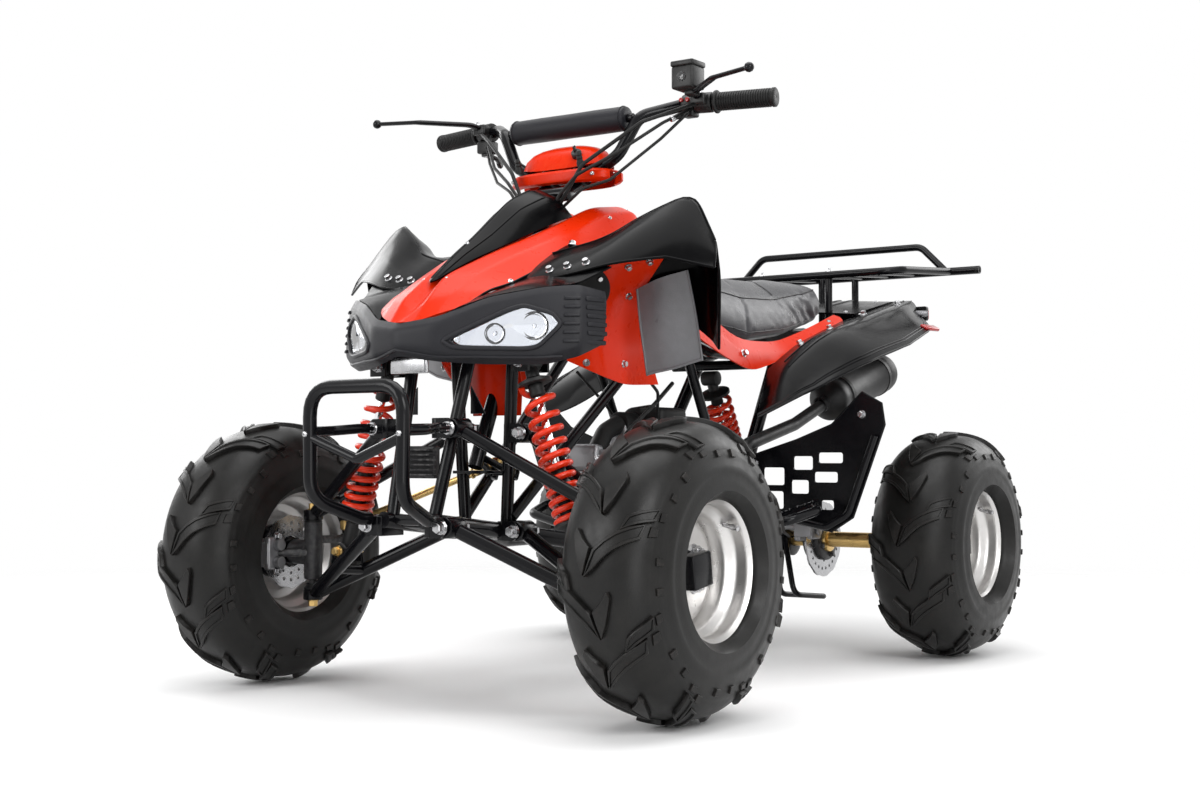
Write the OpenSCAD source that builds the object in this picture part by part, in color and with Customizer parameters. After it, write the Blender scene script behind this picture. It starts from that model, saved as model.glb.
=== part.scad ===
/* [Wheels] */
// Distance between the front and rear axles
wheelbase = 1040; // [960:5:1250]
// Distance between the middles of the front tyres
front_track = 855; // [800:5:1030]
// Distance between the middles of the rear tyres
rear_track = 825; // [790:5:990]
// Outer diameter of a front tyre
front_tyre_d = 464; // [400:2:500]
// Width of a front tyre
front_tyre_w = 188; // [155:1:200]
// Outer diameter of a rear tyre
rear_tyre_d = 452; // [400:2:500]
// Width of a rear tyre
rear_tyre_w = 200; // [165:1:230]
// Outer diameter of the rims' lips
rim_d = 226; // [210:1:240]
// Width over the rims' lips
rim_w = 148; // [130:1:156]

/* [Reach] */
// Front of the bumper ahead of the front axle
nose_reach = 256; // [240:1:300]
// Back of the carrier behind the rear axle
tail_reach = 347; // [330:1:420]

/* [Steering] */
// Width over the handlebar's grips
bar_w = 760; // [660:5:900]
// Height of the grips
bar_h = 1022; // [1000:1:1060]
// Outer diameter of the handlebar
bar_d = 22.2; // [20:0.1:25.4]
// Outer diameter of the grips
grip_d = 34; // [30:1:40]
// Outer diameter of the steering stem
stem_d = 25; // [22:1:30]
// Reach of the steering arms and of the pitman arm
steer_arm = 74; // [60:1:80]

/* [Suspension] */
// Distance of each kingpin from the middle
kingpin_x = 333; // [310:1:340]
// Outer diameter of the front wishbones' tubes
arm_d = 24; // [20:1:28]
// Outer diameter of the front shock absorbers' springs
spring_d = 56; // [50:1:66]
// Diameter of the rear axle
axle_d = 32; // [28:1:38]
// Diameter of the rear brake disc
rear_disc_d = 158; // [130:1:170]
// Diameter of the front brake discs
front_disc_d = 130; // [110:1:134]
// Diameter of the rear sprocket
sprocket_d = 168; // [140:1:190]

/* [Frame and body] */
// Outer diameter of the main frame tubes
frame_d = 27; // [22:1:32]
// Outer diameter of the bumper's tubes
bumper_d = 22; // [18:1:26]
// Width over the bumper's tubes
bumper_w = 218; // [180:2:260]
// Outer diameter of the carrier's tubes
rack_d = 18; // [15:1:22]
// Width of the carrier's rear bar
rack_w = 690; // [560:5:760]
// Thickness of the plastic panels
panel_t = 4; // [3:0.5:5]
// Width of the seat
seat_w = 240; // [200:2:262]
// Diameter of the silencer
silencer_d = 88; // [80:1:100]
// Length of the silencer
silencer_l = 290; // [250:5:320]

/* [Hidden] */
$fn = 48;

black = "#101012";
grey = "#3a3a40";
orange = "#e8400c";
silver = "#b9bcc0";
rubber = "#1a1a1a";

// Heights of the axles, and the row's middle behind the front axle
front_z = front_tyre_d / 2;
rear_z = rear_tyre_d / 2;
middle_y = (wheelbase + tail_reach - nose_reach) / 2;
front_x = front_track / 2;
rear_x = rear_track / 2;

// A distance behind the front axle, drawn for a wheelbase of 1040
function along(y) = y * wheelbase / 1040;
// A point of the body, drawn for that wheelbase
function at(x, y, z) = [x, along(y), z];
function ats(points) = [for (p = points) at(p.x, p.y, p.z)];
function mix(a, b, t) = a + (b - a) * t;
function unit(v) = v / norm(v);
function curve(a, b, c, t) = mix(mix(a, b, t), mix(b, c, t), t);
function turned(g) = [for (i = [0:len(g[0]) - 1]) [for (r = g) r[i]]];

// A run of points with each inner corner rounded over the share w of its sides
function soft(p, k, w) = [p[0],
    for (i = [1:len(p) - 2]) for (j = [0:k])
        curve(mix(p[i], p[i - 1], w), p[i], mix(p[i], p[i + 1], w), j / k),
    p[len(p) - 1]];

// The same for a closed run
function soft_ring(p, k, w) = let (n = len(p))
    [for (i = [0:n - 1]) for (j = [0:k])
        curve(mix(p[i], p[(i + n - 1) % n], w), p[i], mix(p[i], p[(i + 1) % n], w), j / k)];

// A surface over rows of control points: ku, wu along each row, kv, wv from row to row
function net(rows, ku, wu, kv, wv) = let (a = [for (r = rows) soft(r, ku, wu)])
    turned([for (c = turned(a)) soft(c, kv, wv)]);

// The surface's normal at a point of its grid
function normal(g, i, j) = let (n = len(g) - 1, m = len(g[0]) - 1,
    du = g[min(i + 1, n)][j] - g[max(i - 1, 0)][j],
    dv = g[i][min(j + 1, m)] - g[i][max(j - 1, 0)]) unit(cross(du, dv));

// A panel: the grid is its outer face, and its wall lies behind that
module panel(g, t = panel_t) {
    n = len(g);
    m = len(g[0]);
    inner = n * m;
    points = [for (r = g) each r, for (i = [0:n - 1]) for (j = [0:m - 1])
        g[i][j] - normal(g, i, j) * t];
    polyhedron(points, [
        for (i = [0:n - 2]) for (j = [0:m - 2]) let (a = i * m + j) each [
            [a, a + 1, a + m + 1], [a, a + m + 1, a + m],
            [inner + a, inner + a + m + 1, inner + a + 1], [inner + a, inner + a + m, inner + a + m + 1]],
        for (i = [0:n - 2]) let (a = i * m, b = a + m - 1) each [
            [a, a + m, inner + a + m], [a, inner + a + m, inner + a],
            [b, inner + b + m, b + m], [b, inner + b, inner + b + m]],
        for (j = [0:m - 2]) let (b = (n - 1) * m + j) each [
            [j, inner + j + 1, j + 1], [j, inner + j, inner + j + 1],
            [b, b + 1, inner + b + 1], [b, inner + b + 1, inner + b]]]);
}

// A solid through closed rings of points, with both ends closed
module skin(g) {
    n = len(g);
    m = len(g[0]);
    function centre(r) = [for (k = [0:2]) let (s = [for (p = r) p[k]]) (min(s) + max(s)) / 2];
    points = [for (r = g) each r, centre(g[0]), centre(g[n - 1])];
    polyhedron(points, [
        for (i = [0:n - 2]) for (j = [0:m - 1]) let (a = i * m + j, b = i * m + (j + 1) % m) each [
            [a, b, b + m], [a, b + m, a + m]],
        for (j = [0:m - 1]) let (b = (n - 1) * m) each [
            [n * m, (j + 1) % m, j], [n * m + 1, b + j, b + (j + 1) % m]]]);
}

// A straight bar between two points
module rod(a, b, d) {
    v = b - a;
    translate(a) rotate([0, acos(v.z / norm(v)), atan2(v.y, v.x)]) cylinder(h = norm(v), d = d);
}

// A hollow bar
module sleeve(a, b, d, bore) {
    v = b - a;
    translate(a) rotate([0, acos(v.z / norm(v)), atan2(v.y, v.x)]) difference() {
        cylinder(h = norm(v), d = d);
        translate([0, 0, -1]) cylinder(h = norm(v) + 2, d = bore);
    }
}

// A path with its inner corners bent to a radius, in k steps each
function bent(p, bend, k) = let (last = len(p) - 1) [p[0],
    for (i = [1:last - 1]) let (u = unit(p[i] - p[i - 1]), v = unit(p[i + 1] - p[i]),
        c = min(bend * tan(acos(min(1, u * v)) / 2), 0.45 * norm(p[i] - p[i - 1]),
            0.45 * norm(p[i + 1] - p[i])))
        each [for (j = [0:k]) curve(p[i] - u * c, p[i], p[i] + v * c, j / k)],
    p[last]];

// Normals carried along a path without twist
function carried(t, n, i) = i >= len(t) ? [] : let (m = unit(n - t[i] * (n * t[i]))) [m, each carried(t,
    m, i + 1)];

// A bent tube, as a chain of short prisms that share their rings
tube_sides = 10;
module pipe(points, d, bend) {
    p = bent(points, bend, 2);
    last = len(p) - 1;
    t = [for (i = [0:last]) unit((i < last ? unit(p[i + 1] - p[i]) : [0, 0, 0])
        + (i > 0 ? unit(p[i] - p[i - 1]) : [0, 0, 0]))];
    n = carried(t, abs(t[0].z) < 0.9 ? [0, 0, 1] : [0, 1, 0], 0);
    rings = [for (i = [0:last]) [for (k = [0:tube_sides - 1]) let (a = 360 * (k + 0.5) / tube_sides)
        p[i] + (n[i] * cos(a) + cross(t[i], n[i]) * sin(a)) * d / 2]];
    for (i = [0:last - 1]) hull() polyhedron([each rings[i], each rings[i + 1]],
        [for (e = [0, tube_sides]) [for (k = [0:tube_sides - 1]) e + k]]);
}

function mirrored(points) = [for (p = points) [-p.x, p.y, p.z]];
module both() { children(); mirror([1, 0, 0]) children(); }
// From the front axle's middle on the ground to the row's origin
module placed() translate([0, -middle_y, 0]) children();

/* ---- wheels ---- */
// Half of a tyre's outline, from the crown to the bead, as radius and distance from the middle
roundness = 0.72;
function tyre_half(d, w) = let (b = rim_d / 2 - 8, h = d / 2 - b) [
    for (i = [0:9]) let (a = 90 - 9 * i) [b + h * pow(sin(a), roundness), w / 2 * pow(cos(a), roundness)],
    [b, rim_w / 2 - 12], [b, rim_w / 2 - 26]];
module tyre(d, w) {
    half = tyre_half(d, w);
    n = len(half);
    color(rubber) rotate([0, 90, 0]) rotate_extrude($fn = 96)
        polygon([each half, for (i = [n - 1:-1:1]) [half[i].x, -half[i].y]]);
}
rim_wall = 5;
tyre_seat = rim_d / 2 - 8.4;
// Depth of a rim's disc behind its outer lip
rim_dish = 62;
hub_d = 96;
module rim(side, hub_bore) {
    r = rim_d / 2;
    h = rim_w / 2;
    s = tyre_seat;
    outer = [[r, h], [s, h - 9], [s, h - 30], [s - 14, h - 44], [s - 14, 44 - h], [s, 30 - h], [s,
        9 - h], [r, -h]];
    face = h - rim_dish;
    color(silver) mirror([side < 0 ? 1 : 0, 0, 0]) rotate([0, 90, 0]) difference() {
        rotate_extrude($fn = 96) polygon([each outer,
            [r - rim_wall, -h], [s - rim_wall, 12 - h], [s - rim_wall, 32 - h], [s - 14 - rim_wall, 46 - h],
            [s - 14 - rim_wall, face - 18], [58, face - 6], [hub_bore / 2, face - 6], [hub_bore / 2, face],
            [60, face], [s - 14 - rim_wall, face - 10], [s - 14 - rim_wall, h - 46],
            [s - rim_wall, h - 32], [s - rim_wall, h - 12], [r - rim_wall, h]]);
        for (i = [0:3]) rotate(i * 90) translate([rim_pcd / 2, 0, face - 8]) cylinder(h = 20,
            r = rim_bolt_r);
    }
}
// Four wheel bolts
rim_pcd = 76;
rim_bolt_r = 5.5;

/* ---- front axle ---- */
spindle_d = 24;
// Where a front rim's disc lies, from the kingpin
front_face_x = front_x + rim_w / 2 - rim_dish;
front_disc_x = front_x - rim_w / 2 + 34;
ball_low = front_z - 74;
ball_high = front_z + 66;
module front_hub(side) {
    color(black) mirror([side < 0 ? 1 : 0, 0, 0]) {
        sleeve([front_disc_x - 4, 0, front_z], [front_face_x - 6.3, 0, front_z], 52, spindle_d + 0.1);
        sleeve([front_face_x - 14, 0, front_z], [front_face_x - 6.3, 0, front_z], hub_d, spindle_d + 0.1);
        sleeve([front_disc_x - 4, 0, front_z], [front_disc_x, 0, front_z], front_disc_d, 50);
        difference() {
            rod([front_face_x - 6.3, 0, front_z], [front_face_x + 34, 0, front_z], 48);
            rod([front_face_x - 7, 0, front_z], [front_face_x + 26, 0, front_z], spindle_d + 4);
        }
    }
}
module front_rim(side) {
    translate([side * front_x, 0, front_z]) rim(side, 48.6);
    front_hub(side);
}
module front_tyre(side) translate([side * front_x, 0, front_z]) tyre(front_tyre_d, front_tyre_w);
knuckle_d = 32;
steer_end = [kingpin_x - 8, steer_arm, front_z + 34];
module knuckle(side) color(grey) mirror([side < 0 ? 1 : 0, 0, 0]) {
    rod([kingpin_x, 0, ball_low + 9.6], [kingpin_x, 0, ball_low + 30], 14);
    rod([kingpin_x, 0, ball_low + 27], [kingpin_x, 0, ball_high - 12], knuckle_d);
    rod([kingpin_x, 0, front_z], [front_face_x + 18, 0, front_z], spindle_d);
    rod([kingpin_x + 4, 0, front_z], [front_disc_x - 6, 0, front_z], 44);
    // Steering arm, reaching back from the upright
    rod([kingpin_x, 4, steer_end.z - 12], steer_end - [0, 0, 12], 14);
    rod(steer_end - [0, 0, 20], steer_end - [0, 0, 3], 20);
    // Brake caliper over the disc's front edge
    difference() {
        translate([front_disc_x - 2, -front_disc_d / 2 + 6, front_z]) cube([36, 38, 36], center = true);
        translate([front_disc_x - 2, 0, front_z]) rotate([0, 90, 0]) cylinder(h = 10,
            d = front_disc_d + 10, center = true);
        translate([front_disc_x + 8, 0, front_z]) rotate([0, 90, 0]) cylinder(h = 30, d = 62,
            center = true);
    }
    rod([kingpin_x, -6, front_z], [front_disc_x - 14, -front_disc_d / 2 + 10, front_z], 16);
}

/* ---- front suspension ---- */
low_front = [78, -110, 290];
low_rear = [78, 72, 278];
high_front = [80, -96, 446];
high_rear = [80, 86, 440];
low_ball = [kingpin_x, 0, ball_low];
high_ball = [kingpin_x, 0, ball_high];
shock_top = [150, -4, 552];
shock_foot = [250, 0, 238];
module wishbone(front, rear, ball, d) {
    // The pivots' eyes, the two tubes and the ball joint's boss
    for (p = [front, rear]) {
        sleeve(p + [0, -19, 0], p + [0, 19, 0], d + 10, 12.2);
        rod(p + unit(ball - p) * (d / 2 + 2), ball - unit(ball - p) * 18, d);
    }
    rod(ball - [0, 0, 9], ball + [0, 0, 9], 34);
}
module lower_arms() color(black) both() {
    wishbone(low_front, low_rear, low_ball, arm_d);
    // The ears that hold the shock absorber's eye
    a = mix(low_front, low_ball, 0.62);
    b = mix(low_rear, low_ball, 0.62);
    for (s = [-1, 1]) hull() {
        translate([shock_foot.x, s * 22, shock_foot.z]) rotate([90, 0, 0]) cylinder(h = 5, d = 24,
            center = true);
        translate([shock_foot.x - 4, s * 24, mix(a, b, 0.5).z]) rotate([90, 0, 0]) cylinder(h = 7,
            d = 34, center = true);
    }
    rod([a.x, a.y * 0.8, a.z], [b.x, b.y * 0.8, b.z], arm_d * 0.7);
}
module upper_arms() color(black) both() {
    wishbone(high_front, high_rear, high_ball, arm_d - 3);
    rod(mix(high_front, high_ball, 0.8), mix(high_rear, high_ball, 0.8), 14);
}
module front_shocks() color(orange) both() shock(shock_top, shock_foot, spring_d, [0, 1, 0]);
// An upper eye with its bolt's hole, a spring over its body, and a lower eye, on bolts along one axis
eye_w = 34;
module shock(top, foot, d, axis) {
    u = unit(foot - top);
    l = norm(foot - top);
    half = axis * eye_w / 2;
    difference() {
        union() {
            rod(top - half, top + half, 30);
            rod(top, top + u * 34, 22);
        }
        rod(top - half * 1.1, top + half * 1.1, 10.4);
    }
    rod(foot - half, foot + half, 28);
    rod(top + u * 30, top + u * (l - 62), d);
    rod(top + u * (l - 62), foot, 26);
}

/* ---- frame ---- */
pivot_y = along(715);
pivot_z = 322;
stem_low = [0, 50, 400];
stem_axis = unit([0, 242, 560]);
function on_stem(z) = stem_low + stem_axis * (z - stem_low.z) / stem_axis.z;
head_z = 684;
rack_back = wheelbase + tail_reach - rack_d / 2;
post_y = rack_back - 6;
rail_end = [84, post_y - rack_d - 0.3, 690];
leg_x = 44;
leg_d = 21;
// A channel with two ears and a pivot bolt, for a wishbone's eye
module pivot_bracket(p) {
    rod(p + [0, -29, 0], p + [0, 29, 0], 11.8);
    translate(p + [-28, 0, 0]) cube([10, 53, 32], center = true);
    for (s = [-1, 1]) translate(p + [-12, s * 24, 0]) cube([40, 5, 32], center = true);
}
module frame() color(black) {
    $fn = 12;
    both() {
        // Lower rail, from the front pivots back and up to the seat rail
        pipe([[leg_x, -134, 300], [leg_x, 112, 272], at(90, 230, 252), at(104, 420, 252), at(104, 690, 252),
            at(104, 790, 430), at(92, 905, 600)], frame_d, 60);
        // Seat rail
        pipe([at(80, 300, 720), at(92, 470, 640), at(92, 640, 604), at(92, 900, 602), at(86, 1130, 668),
            rail_end], frame_d - 3, 80);
        // Front tower, and its braces to the seat rail
        rod([leg_x, -112, 300], [62, -36, 592], leg_d);
        rod([leg_x, 72, 278], [62, 66, 592], leg_d);
        rod([62, -40, 590], at(80, 300, 720), leg_d);
        rod([50, 76, 300], at(92, 470, 640), leg_d);
        rod(at(104, 520, 632), at(104, 700, 300), 19);
        for (p = [low_front, low_rear, high_front, high_rear]) pivot_bracket(p);
        // Shock absorber's mount, body studs and the foot bearing's stays
        rod([58, 30, 586], [shock_top.x + 12, 24, shock_top.z + 26], 18);
        rod([58, -30, 586], [shock_top.x + 12, -24, shock_top.z + 26], 18);
        rod([shock_top.x, -29, shock_top.z], [shock_top.x, 29, shock_top.z], 9.8);
        for (s = [-1, 1]) translate(shock_top + [2, s * 26, 8]) cube([34, 5, 48], center = true);
        rod([62, -40, 588], [62, -127, 590], 12);
        rod([26, 58, 373], [leg_x, 74, 373], 8);
    }
    // Cross tubes
    for (p = [[leg_x, -112, 300], [56, -66, 446], [leg_x, 72, 278], [62, 66, 590], [62, -38, 590]])
        rod([-p.x, p.y, p.z], p, 18);
    rod([-104, pivot_y, pivot_z], [104, pivot_y, pivot_z], 20);
    rod(at(-90, 800, 585.6), at(90, 800, 585.6), 20);
    rod(at(-92, 770, 613.7 - 8), at(92, 770, 613.7 - 8), 16);
    rod([-rail_end.x, rail_end.y, rail_end.z], rail_end, 20);
    // Pads under the seat
    both() translate(at(88, 770, 613)) cube([20, 24, 24], center = true);
    // Bearings of the steering stem
    for (s = [-1, 1]) rod([s * 76, 196, 690], [s * 18, on_stem(head_z).y, head_z], 16);
    both() rod([62, 66, 592], [76, 196, 690], 16);
    both() rod([76, 196, 690], at(80, 300, 720), 16);
    sleeve(on_stem(head_z - 14), on_stem(head_z + 14), 46, stem_d + 1.3);
    translate([0, 46, 375]) cube([60, 52, 5], center = true);
}

/* ---- bumper ---- */
module front_bumper() color(black) {
    x = (bumper_w - bumper_d) / 2;
    y = bumper_d / 2 - nose_reach;
    top = 520 - bumper_d / 2;
    pipe([[70, -139.4, 302], [70, -156, 302], [x - 2, y, 336], [x, y, top], [-x, y, top], [2 - x, y,
        336], [-70, -156, 302], [-70, -139.4, 302]], bumper_d, 46);
    pipe([[-x, y, 432], [0, y + 4, 397], [x, y, 432]], bumper_d - 6, 20);
    both() pipe([[x, y, 440], [x, y + 50, 442], [80, -150, 446], [80, -125.4, 446]], bumper_d - 6, 30);
}

/* ---- nose and front body, drawn for the left ---- */
module symmetric_panel(half, t = panel_t) {
    panel(net([for (r = half) [each mirrored([for (i = [len(r) - 1:-1:1]) r[i]]), each r]], 2, 0.4, 2,
        0.4), t);
}
bezel_rows = [
    [[0, -146, 612], [66, -126, 622], [131, -82, 652], [200, -30, 668], [240, 6, 672], [256, 56, 664]],
    [[0, -158, 600], [66, -140, 608], [128, -96, 636], [204, -38, 654], [248, 0, 656], [262, 52, 650]],
    [[0, -160, 574], [66, -140, 566], [128, -98, 562], [208, -40, 562], [252, -8, 578], [264, 44, 592]],
    [[0, -148, 560], [62, -120, 550], [124, -74, 546], [200, -26, 546], [244, 0, 558], [256, 46, 578]]];
lens_outline = [[85, 585], [177, 637], [215, 624], [225, 609], [195, 572], [98, 574]];
module lens_prism() translate([0, 40, 0]) rotate([90, 0, 0]) linear_extrude(220) polygon(lens_outline);
module headlight_bezel() color(grey) difference() {
    translate([0, 0, -0.5]) symmetric_panel(bezel_rows, 6);
    both() lens_prism();
}
function bezel_front(x) = lookup(x, [for (p = bezel_rows[1]) [p.x, p.y]]);
lens_depth = 26;
lens_gap = 0.985;
module headlights() color("#dfe6ea") both() skin([for (back = [lens_depth, 3])
    [for (p = lens_outline) let (x = mix(160, p.x, lens_gap)) [x, bezel_front(x) + back, mix(600, p.y,
        lens_gap)]]]);
cowl_rows = [
    [[0, -146, 614], [26, -138, 614], [58, -122, 626], [92, -92, 640]],
    [[0, -104, 640], [26, -110, 652], [62, -84, 664], [102, -46, 668]],
    [[0, -56, 680], [18, -58, 696], [64, -30, 696], [108, 8, 684]],
    [[0, 40, 728], [38, 52, 746], [80, 64, 740], [112, 84, 716]],
    [[0, 190, 785], [54, 186, 800], [88, 196, 790], [112, 176, 756]],
    [[0, 290, 815], [60, 290, 846], [92, 300, 832], [116, 286, 790]],
    [[0, 385, 820], [58, 395, 860], [90, 388, 846], [112, 370, 812]],
    [[0, 440, 790], [50, 436, 826], [86, 426, 808], [108, 410, 780]]];
module nose_cowl() color(orange) difference() {
    symmetric_panel(cowl_rows);
    // Opening for the steering stem
    translate(on_stem(820)) rotate([-23.4, 0, 0]) cylinder(h = 160, d = 84, center = true);
}
cover_rows = [
    [[0, -74, 686], [8, -66, 690], [14, -50, 700]],
    [[0, -4, 742], [14, -2, 735], [24, 2, 727]],
    [[0, 60, 788], [22, 60, 772], [39, 56, 752]],
    [[0, 130, 845], [30, 134, 824], [49, 126, 782]],
    [[0, 190, 872], [36, 196, 852], [58, 200, 812]],
    [[0, 214, 874], [38, 222, 858], [60, 236, 824]]];
module steering_cover() color(black) translate([0, 0, -2]) symmetric_panel(cover_rows, 3);

fender_rows = [
    [[112, 24, 684], [113, 64, 716], [115, 104, 740], [118, 146, 760], [120, 180, 756]],
    [[198, 36, 694], [199, 88, 734], [200, 136, 764], [203, 186, 758], [206, 232, 700]],
    [[262, 68, 712], [258, 124, 768], [254, 174, 806], [254, 222, 790], [258, 262, 650]],
    [[330, 118, 722], [326, 170, 792], [322, 219, 846], [330, 256, 800], [318, 284, 600]],
    [[396, 160, 704], [392, 170, 728], [384, 186, 752], [384, 200, 690], [352, 250, 580]]];
module front_fender() color(black) translate([0.4, 0, 0]) panel(net(fender_rows, 3, 0.4, 3, 0.4));
liner_rows = [
    [[210, 218, 684], [212, 230, 618], [216, 240, 538]],
    [[254, 226, 696], [256, 244, 630], [260, 254, 548]],
    [[300, 234, 712], [304, 256, 636], [308, 268, 562]]];
module fender_liners() {
    color(grey) both() translate([-1.4, 0, 0]) panel(net(liner_rows, 3, 0.4, 3, 0.4), 3);
    color(orange) both() panel(net([
        [[128, 70, 676], [134, 84, 650], [138, 96, 610], [136, 118, 560]],
        [[190, 96, 708], [180, 120, 660], [172, 146, 600], [166, 178, 536]],
        [[240, 150, 727], [190, 192, 676], [166, 226, 600], [160, 258, 524]],
        [[286, 188, 733], [192, 250, 670], [150, 330, 612], [138, 392, 530]]], 3, 0.4, 3, 0.4), 3);
}

/* ---- tank, seat and rear body ---- */
tank_top = 846;
module tank_cover() color(black) {
    skin([for (r = [[262, 48, 700, 760], [330, 56, 700, 786], [420, 58, 700, 776], [461.7, 56, 700, 764]])
        [for (p = soft_ring([[-r[1], r[2]], [r[1], r[2]], [r[1], r[3]], [-r[1], r[3]]], 3, 0.3))
            at(p.x, r[0], p.y)]]);
}
seat_rings = [[462, 62, 716, 786], [520, 84, 676, 778], [640, 104, 634, 756], [770, 118, 622, 744],
    [900, 120, 640, 748], [1040, 116, 676, 768], [1080, 106, 694, 774], [1128, 84, 706, 766]];
module seat() color("#8b8b90") skin([for (r = seat_rings) let (w = r[1] * seat_w / 240)
    [for (p = soft_ring([[-w, r[2]], [w, r[2]], [w * 0.8, r[3]], [-w * 0.8, r[3]]], 3, 0.3)) at(p.x,
        r[0], p.y)]]);
side_rows = [
    [[118, 430, 770], [130, 440, 700], [140, 470, 640]],
    [[124, 540, 690], [138, 560, 650], [150, 600, 590]],
    [[128, 680, 628], [144, 680, 600], [152, 700, 566]],
    [[128, 830, 630], [146, 820, 608], [154, 800, 590]],
    [[128, 960, 664], [146, 960, 650], [156, 940, 640]],
    [[118, 1110, 706], [136, 1105, 700], [150, 1090, 692]]];
module side_panels() color(orange) both() translate([3, 0, 0]) panel(net([for (r = side_rows) ats(r)], 3,
    0.4, 3, 0.4));
rear_fender_rows = [
    [[168, 740, 572], [214, 630, 506], [256, 545, 472]],
    [[164, 800, 598], [236, 700, 575], [330, 640, 530]],
    [[158, 880, 630], [250, 840, 651], [362, 800, 585]],
    [[160, 1030, 676], [250, 1018, 684], [364, 975, 626]],
    [[160, 1180, 714], [236, 1190, 722], [338, 1140, 668]],
    [[168, 1320, 748], [206, 1335, 750], [246, 1300, 704]]];
module rear_fender() color(black) translate([-1.8, 0, 0]) panel(net([for (r = rear_fender_rows) ats(r)],
    3, 0.4, 3, 0.4));
module tail_cover() color(black) difference() {
    panel(net([for (r = [
    [[-159, 1132, 708], [0, 1134, 722], [159, 1132, 708]],
    [[-158, 1190, 720], [0, 1195, 738], [158, 1190, 720]],
    [[-166, 1326, 752], [0, 1338, 764], [166, 1326, 752]],
    [[-160, 1351, 730], [0, 1357, 736], [160, 1351, 730]]]) ats(r)], 3, 0.4, 3, 0.4));
    // Holes for the carrier's front posts
    both() translate(at(84, 1160, 660)) cylinder(h = 120, d = rack_d - 0.6);
}
module tail_light() color("#a01010") {
    translate(at(0, 1376, 720)) cube([67.4, 16, 36], center = true);
    both() translate(at(214, 1334.4, 718)) cube([56, 24, 30], center = true);
}
rack_z = 814;
module rear_rack() color(black) {
    $fn = 12;
    back = rack_back;
    rod([-rack_w / 2, back, rack_z], [rack_w / 2, back, rack_z], rack_d);
    both() {
        pipe([[rack_w / 2 - 70, back, rack_z], at(250, 1180, 802), at(220, 1150, 798), at(0, 1150, 798)],
            rack_d - 2, 30);
        for (x = [60, 125, 190]) rod(at(x, 1150, 798), [x, back, rack_z], 12);
        rod([43, post_y, rail_end.z - 6], [43, post_y, rack_z], rack_d - 2);
        rod(at(84, 1160, 686.5), at(84, 1160, 798), rack_d - 2);
    }
    pipe([[-266, back, rack_z], [-205, back, rack_z + 60], [205, back, rack_z + 60], [266, back,
        rack_z]], rack_d - 2, 34);
}

/* ---- engine, exhaust and rear suspension ---- */
bolt_end = 104 - frame_d / 2 - 0.4;
module engine() color("#6d6f72") {
    translate(at(0, 590, 332)) cube([156, 196, 150], center = true);
    translate(at(-6, 424, 356)) cube([124, 140, 120], center = true);
    // Mounting bolt between the lower rails
    rod([-bolt_end, along(520), 256], [bolt_end, along(520), 256], 16);
}
silencer_foot = at(150, 1010, 513);
silencer_axis = unit([0, 279, 77]);
module exhaust() color(black) {
    $fn = 24;
    pipe([at(20, 353.6, 340), at(20, 322, 340), at(60, 316, 214), at(140, 400, 214), at(146, 560, 345),
        at(150, 690, 424),
        at(150, 880, 466), silencer_foot + silencer_axis * 20], 26, 40);
    pipe([at(136, 1130, 576), at(112, 1130, 640), at(99.8, 1130, 664)], 9, 10);
    rod(silencer_foot, silencer_foot + silencer_axis * silencer_l, silencer_d);
    rod(silencer_foot + silencer_axis * (silencer_l - 1), silencer_foot + silencer_axis
        * (silencer_l + 22), 30);
}
carrier_x = 62;
module swingarm() color(black) {
    $fn = 16;
    // The pivot's sleeve, the two arms and the axle's housing
    sleeve([-80, pivot_y, pivot_z], [80, pivot_y, pivot_z], 34, 20.4);
    both() rod([66, pivot_y + 14, pivot_z - 4], [56, wheelbase - 20, rear_z + 14], 30);
    sleeve([-carrier_x, wheelbase, rear_z], [carrier_x, wheelbase, rear_z], 74, axle_d + 1);
    rod([-60, mix(pivot_y, wheelbase, 0.5), 280], [60, mix(pivot_y, wheelbase, 0.5), 280], 24);
    // Guard hoops under the axle
    both() pipe([[50, wheelbase - 32, rear_z - 14], [62, wheelbase - 70, 112], [70, wheelbase + 56, 100],
        [108, wheelbase + 56, 100], [98, wheelbase - 70, 112], [56, wheelbase - 32, rear_z + 2]], 12, 18);
    // The shock absorber's lower bracket
    for (s = [-1, 1]) translate([s * (eye_w / 2 + 3.3), along(905), 300]) cube([6, 80, 46], center = true);
}
rear_shock_top = at(0, 800, 560);
rear_shock_foot = [0, along(925), 322];
module rear_shock() color(orange) shock(rear_shock_top, rear_shock_foot, 62, [1, 0, 0]);
rear_disc_x = 134;
sprocket_x = 112;
module rear_axle() {
    color("#b08d3a") {
        rod([12 - rear_x - rim_w / 2 + rim_dish - 30, wheelbase, rear_z],
            [rear_x + rim_w / 2 - rim_dish + 18, wheelbase, rear_z], axle_d);
        both() {
            rod([rear_x + rim_w / 2 - rim_dish - 15, wheelbase, rear_z],
                [rear_x + rim_w / 2 - rim_dish - 6.3, wheelbase, rear_z], hub_d);
            rod([rear_x + rim_w / 2 - rim_dish - 62, wheelbase, rear_z],
                [rear_x + rim_w / 2 - rim_dish - 14, wheelbase, rear_z], 46);
        }
        rod([rear_disc_x - 30, wheelbase, rear_z], [rear_disc_x + 14, wheelbase, rear_z], 52);
        rod([-sprocket_x - 14, wheelbase, rear_z], [-sprocket_x + 30, wheelbase, rear_z], 52);
    }
    color(silver) rod([rear_disc_x - 2, wheelbase, rear_z], [rear_disc_x + 2, wheelbase, rear_z],
        rear_disc_d);
    color(grey) rod([-sprocket_x - 3, wheelbase, rear_z], [-sprocket_x + 3, wheelbase, rear_z], sprocket_d);
}
module rear_rims() for (s = [-1, 1]) translate([s * rear_x, wheelbase, rear_z]) rim(s, 48.6);
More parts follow.
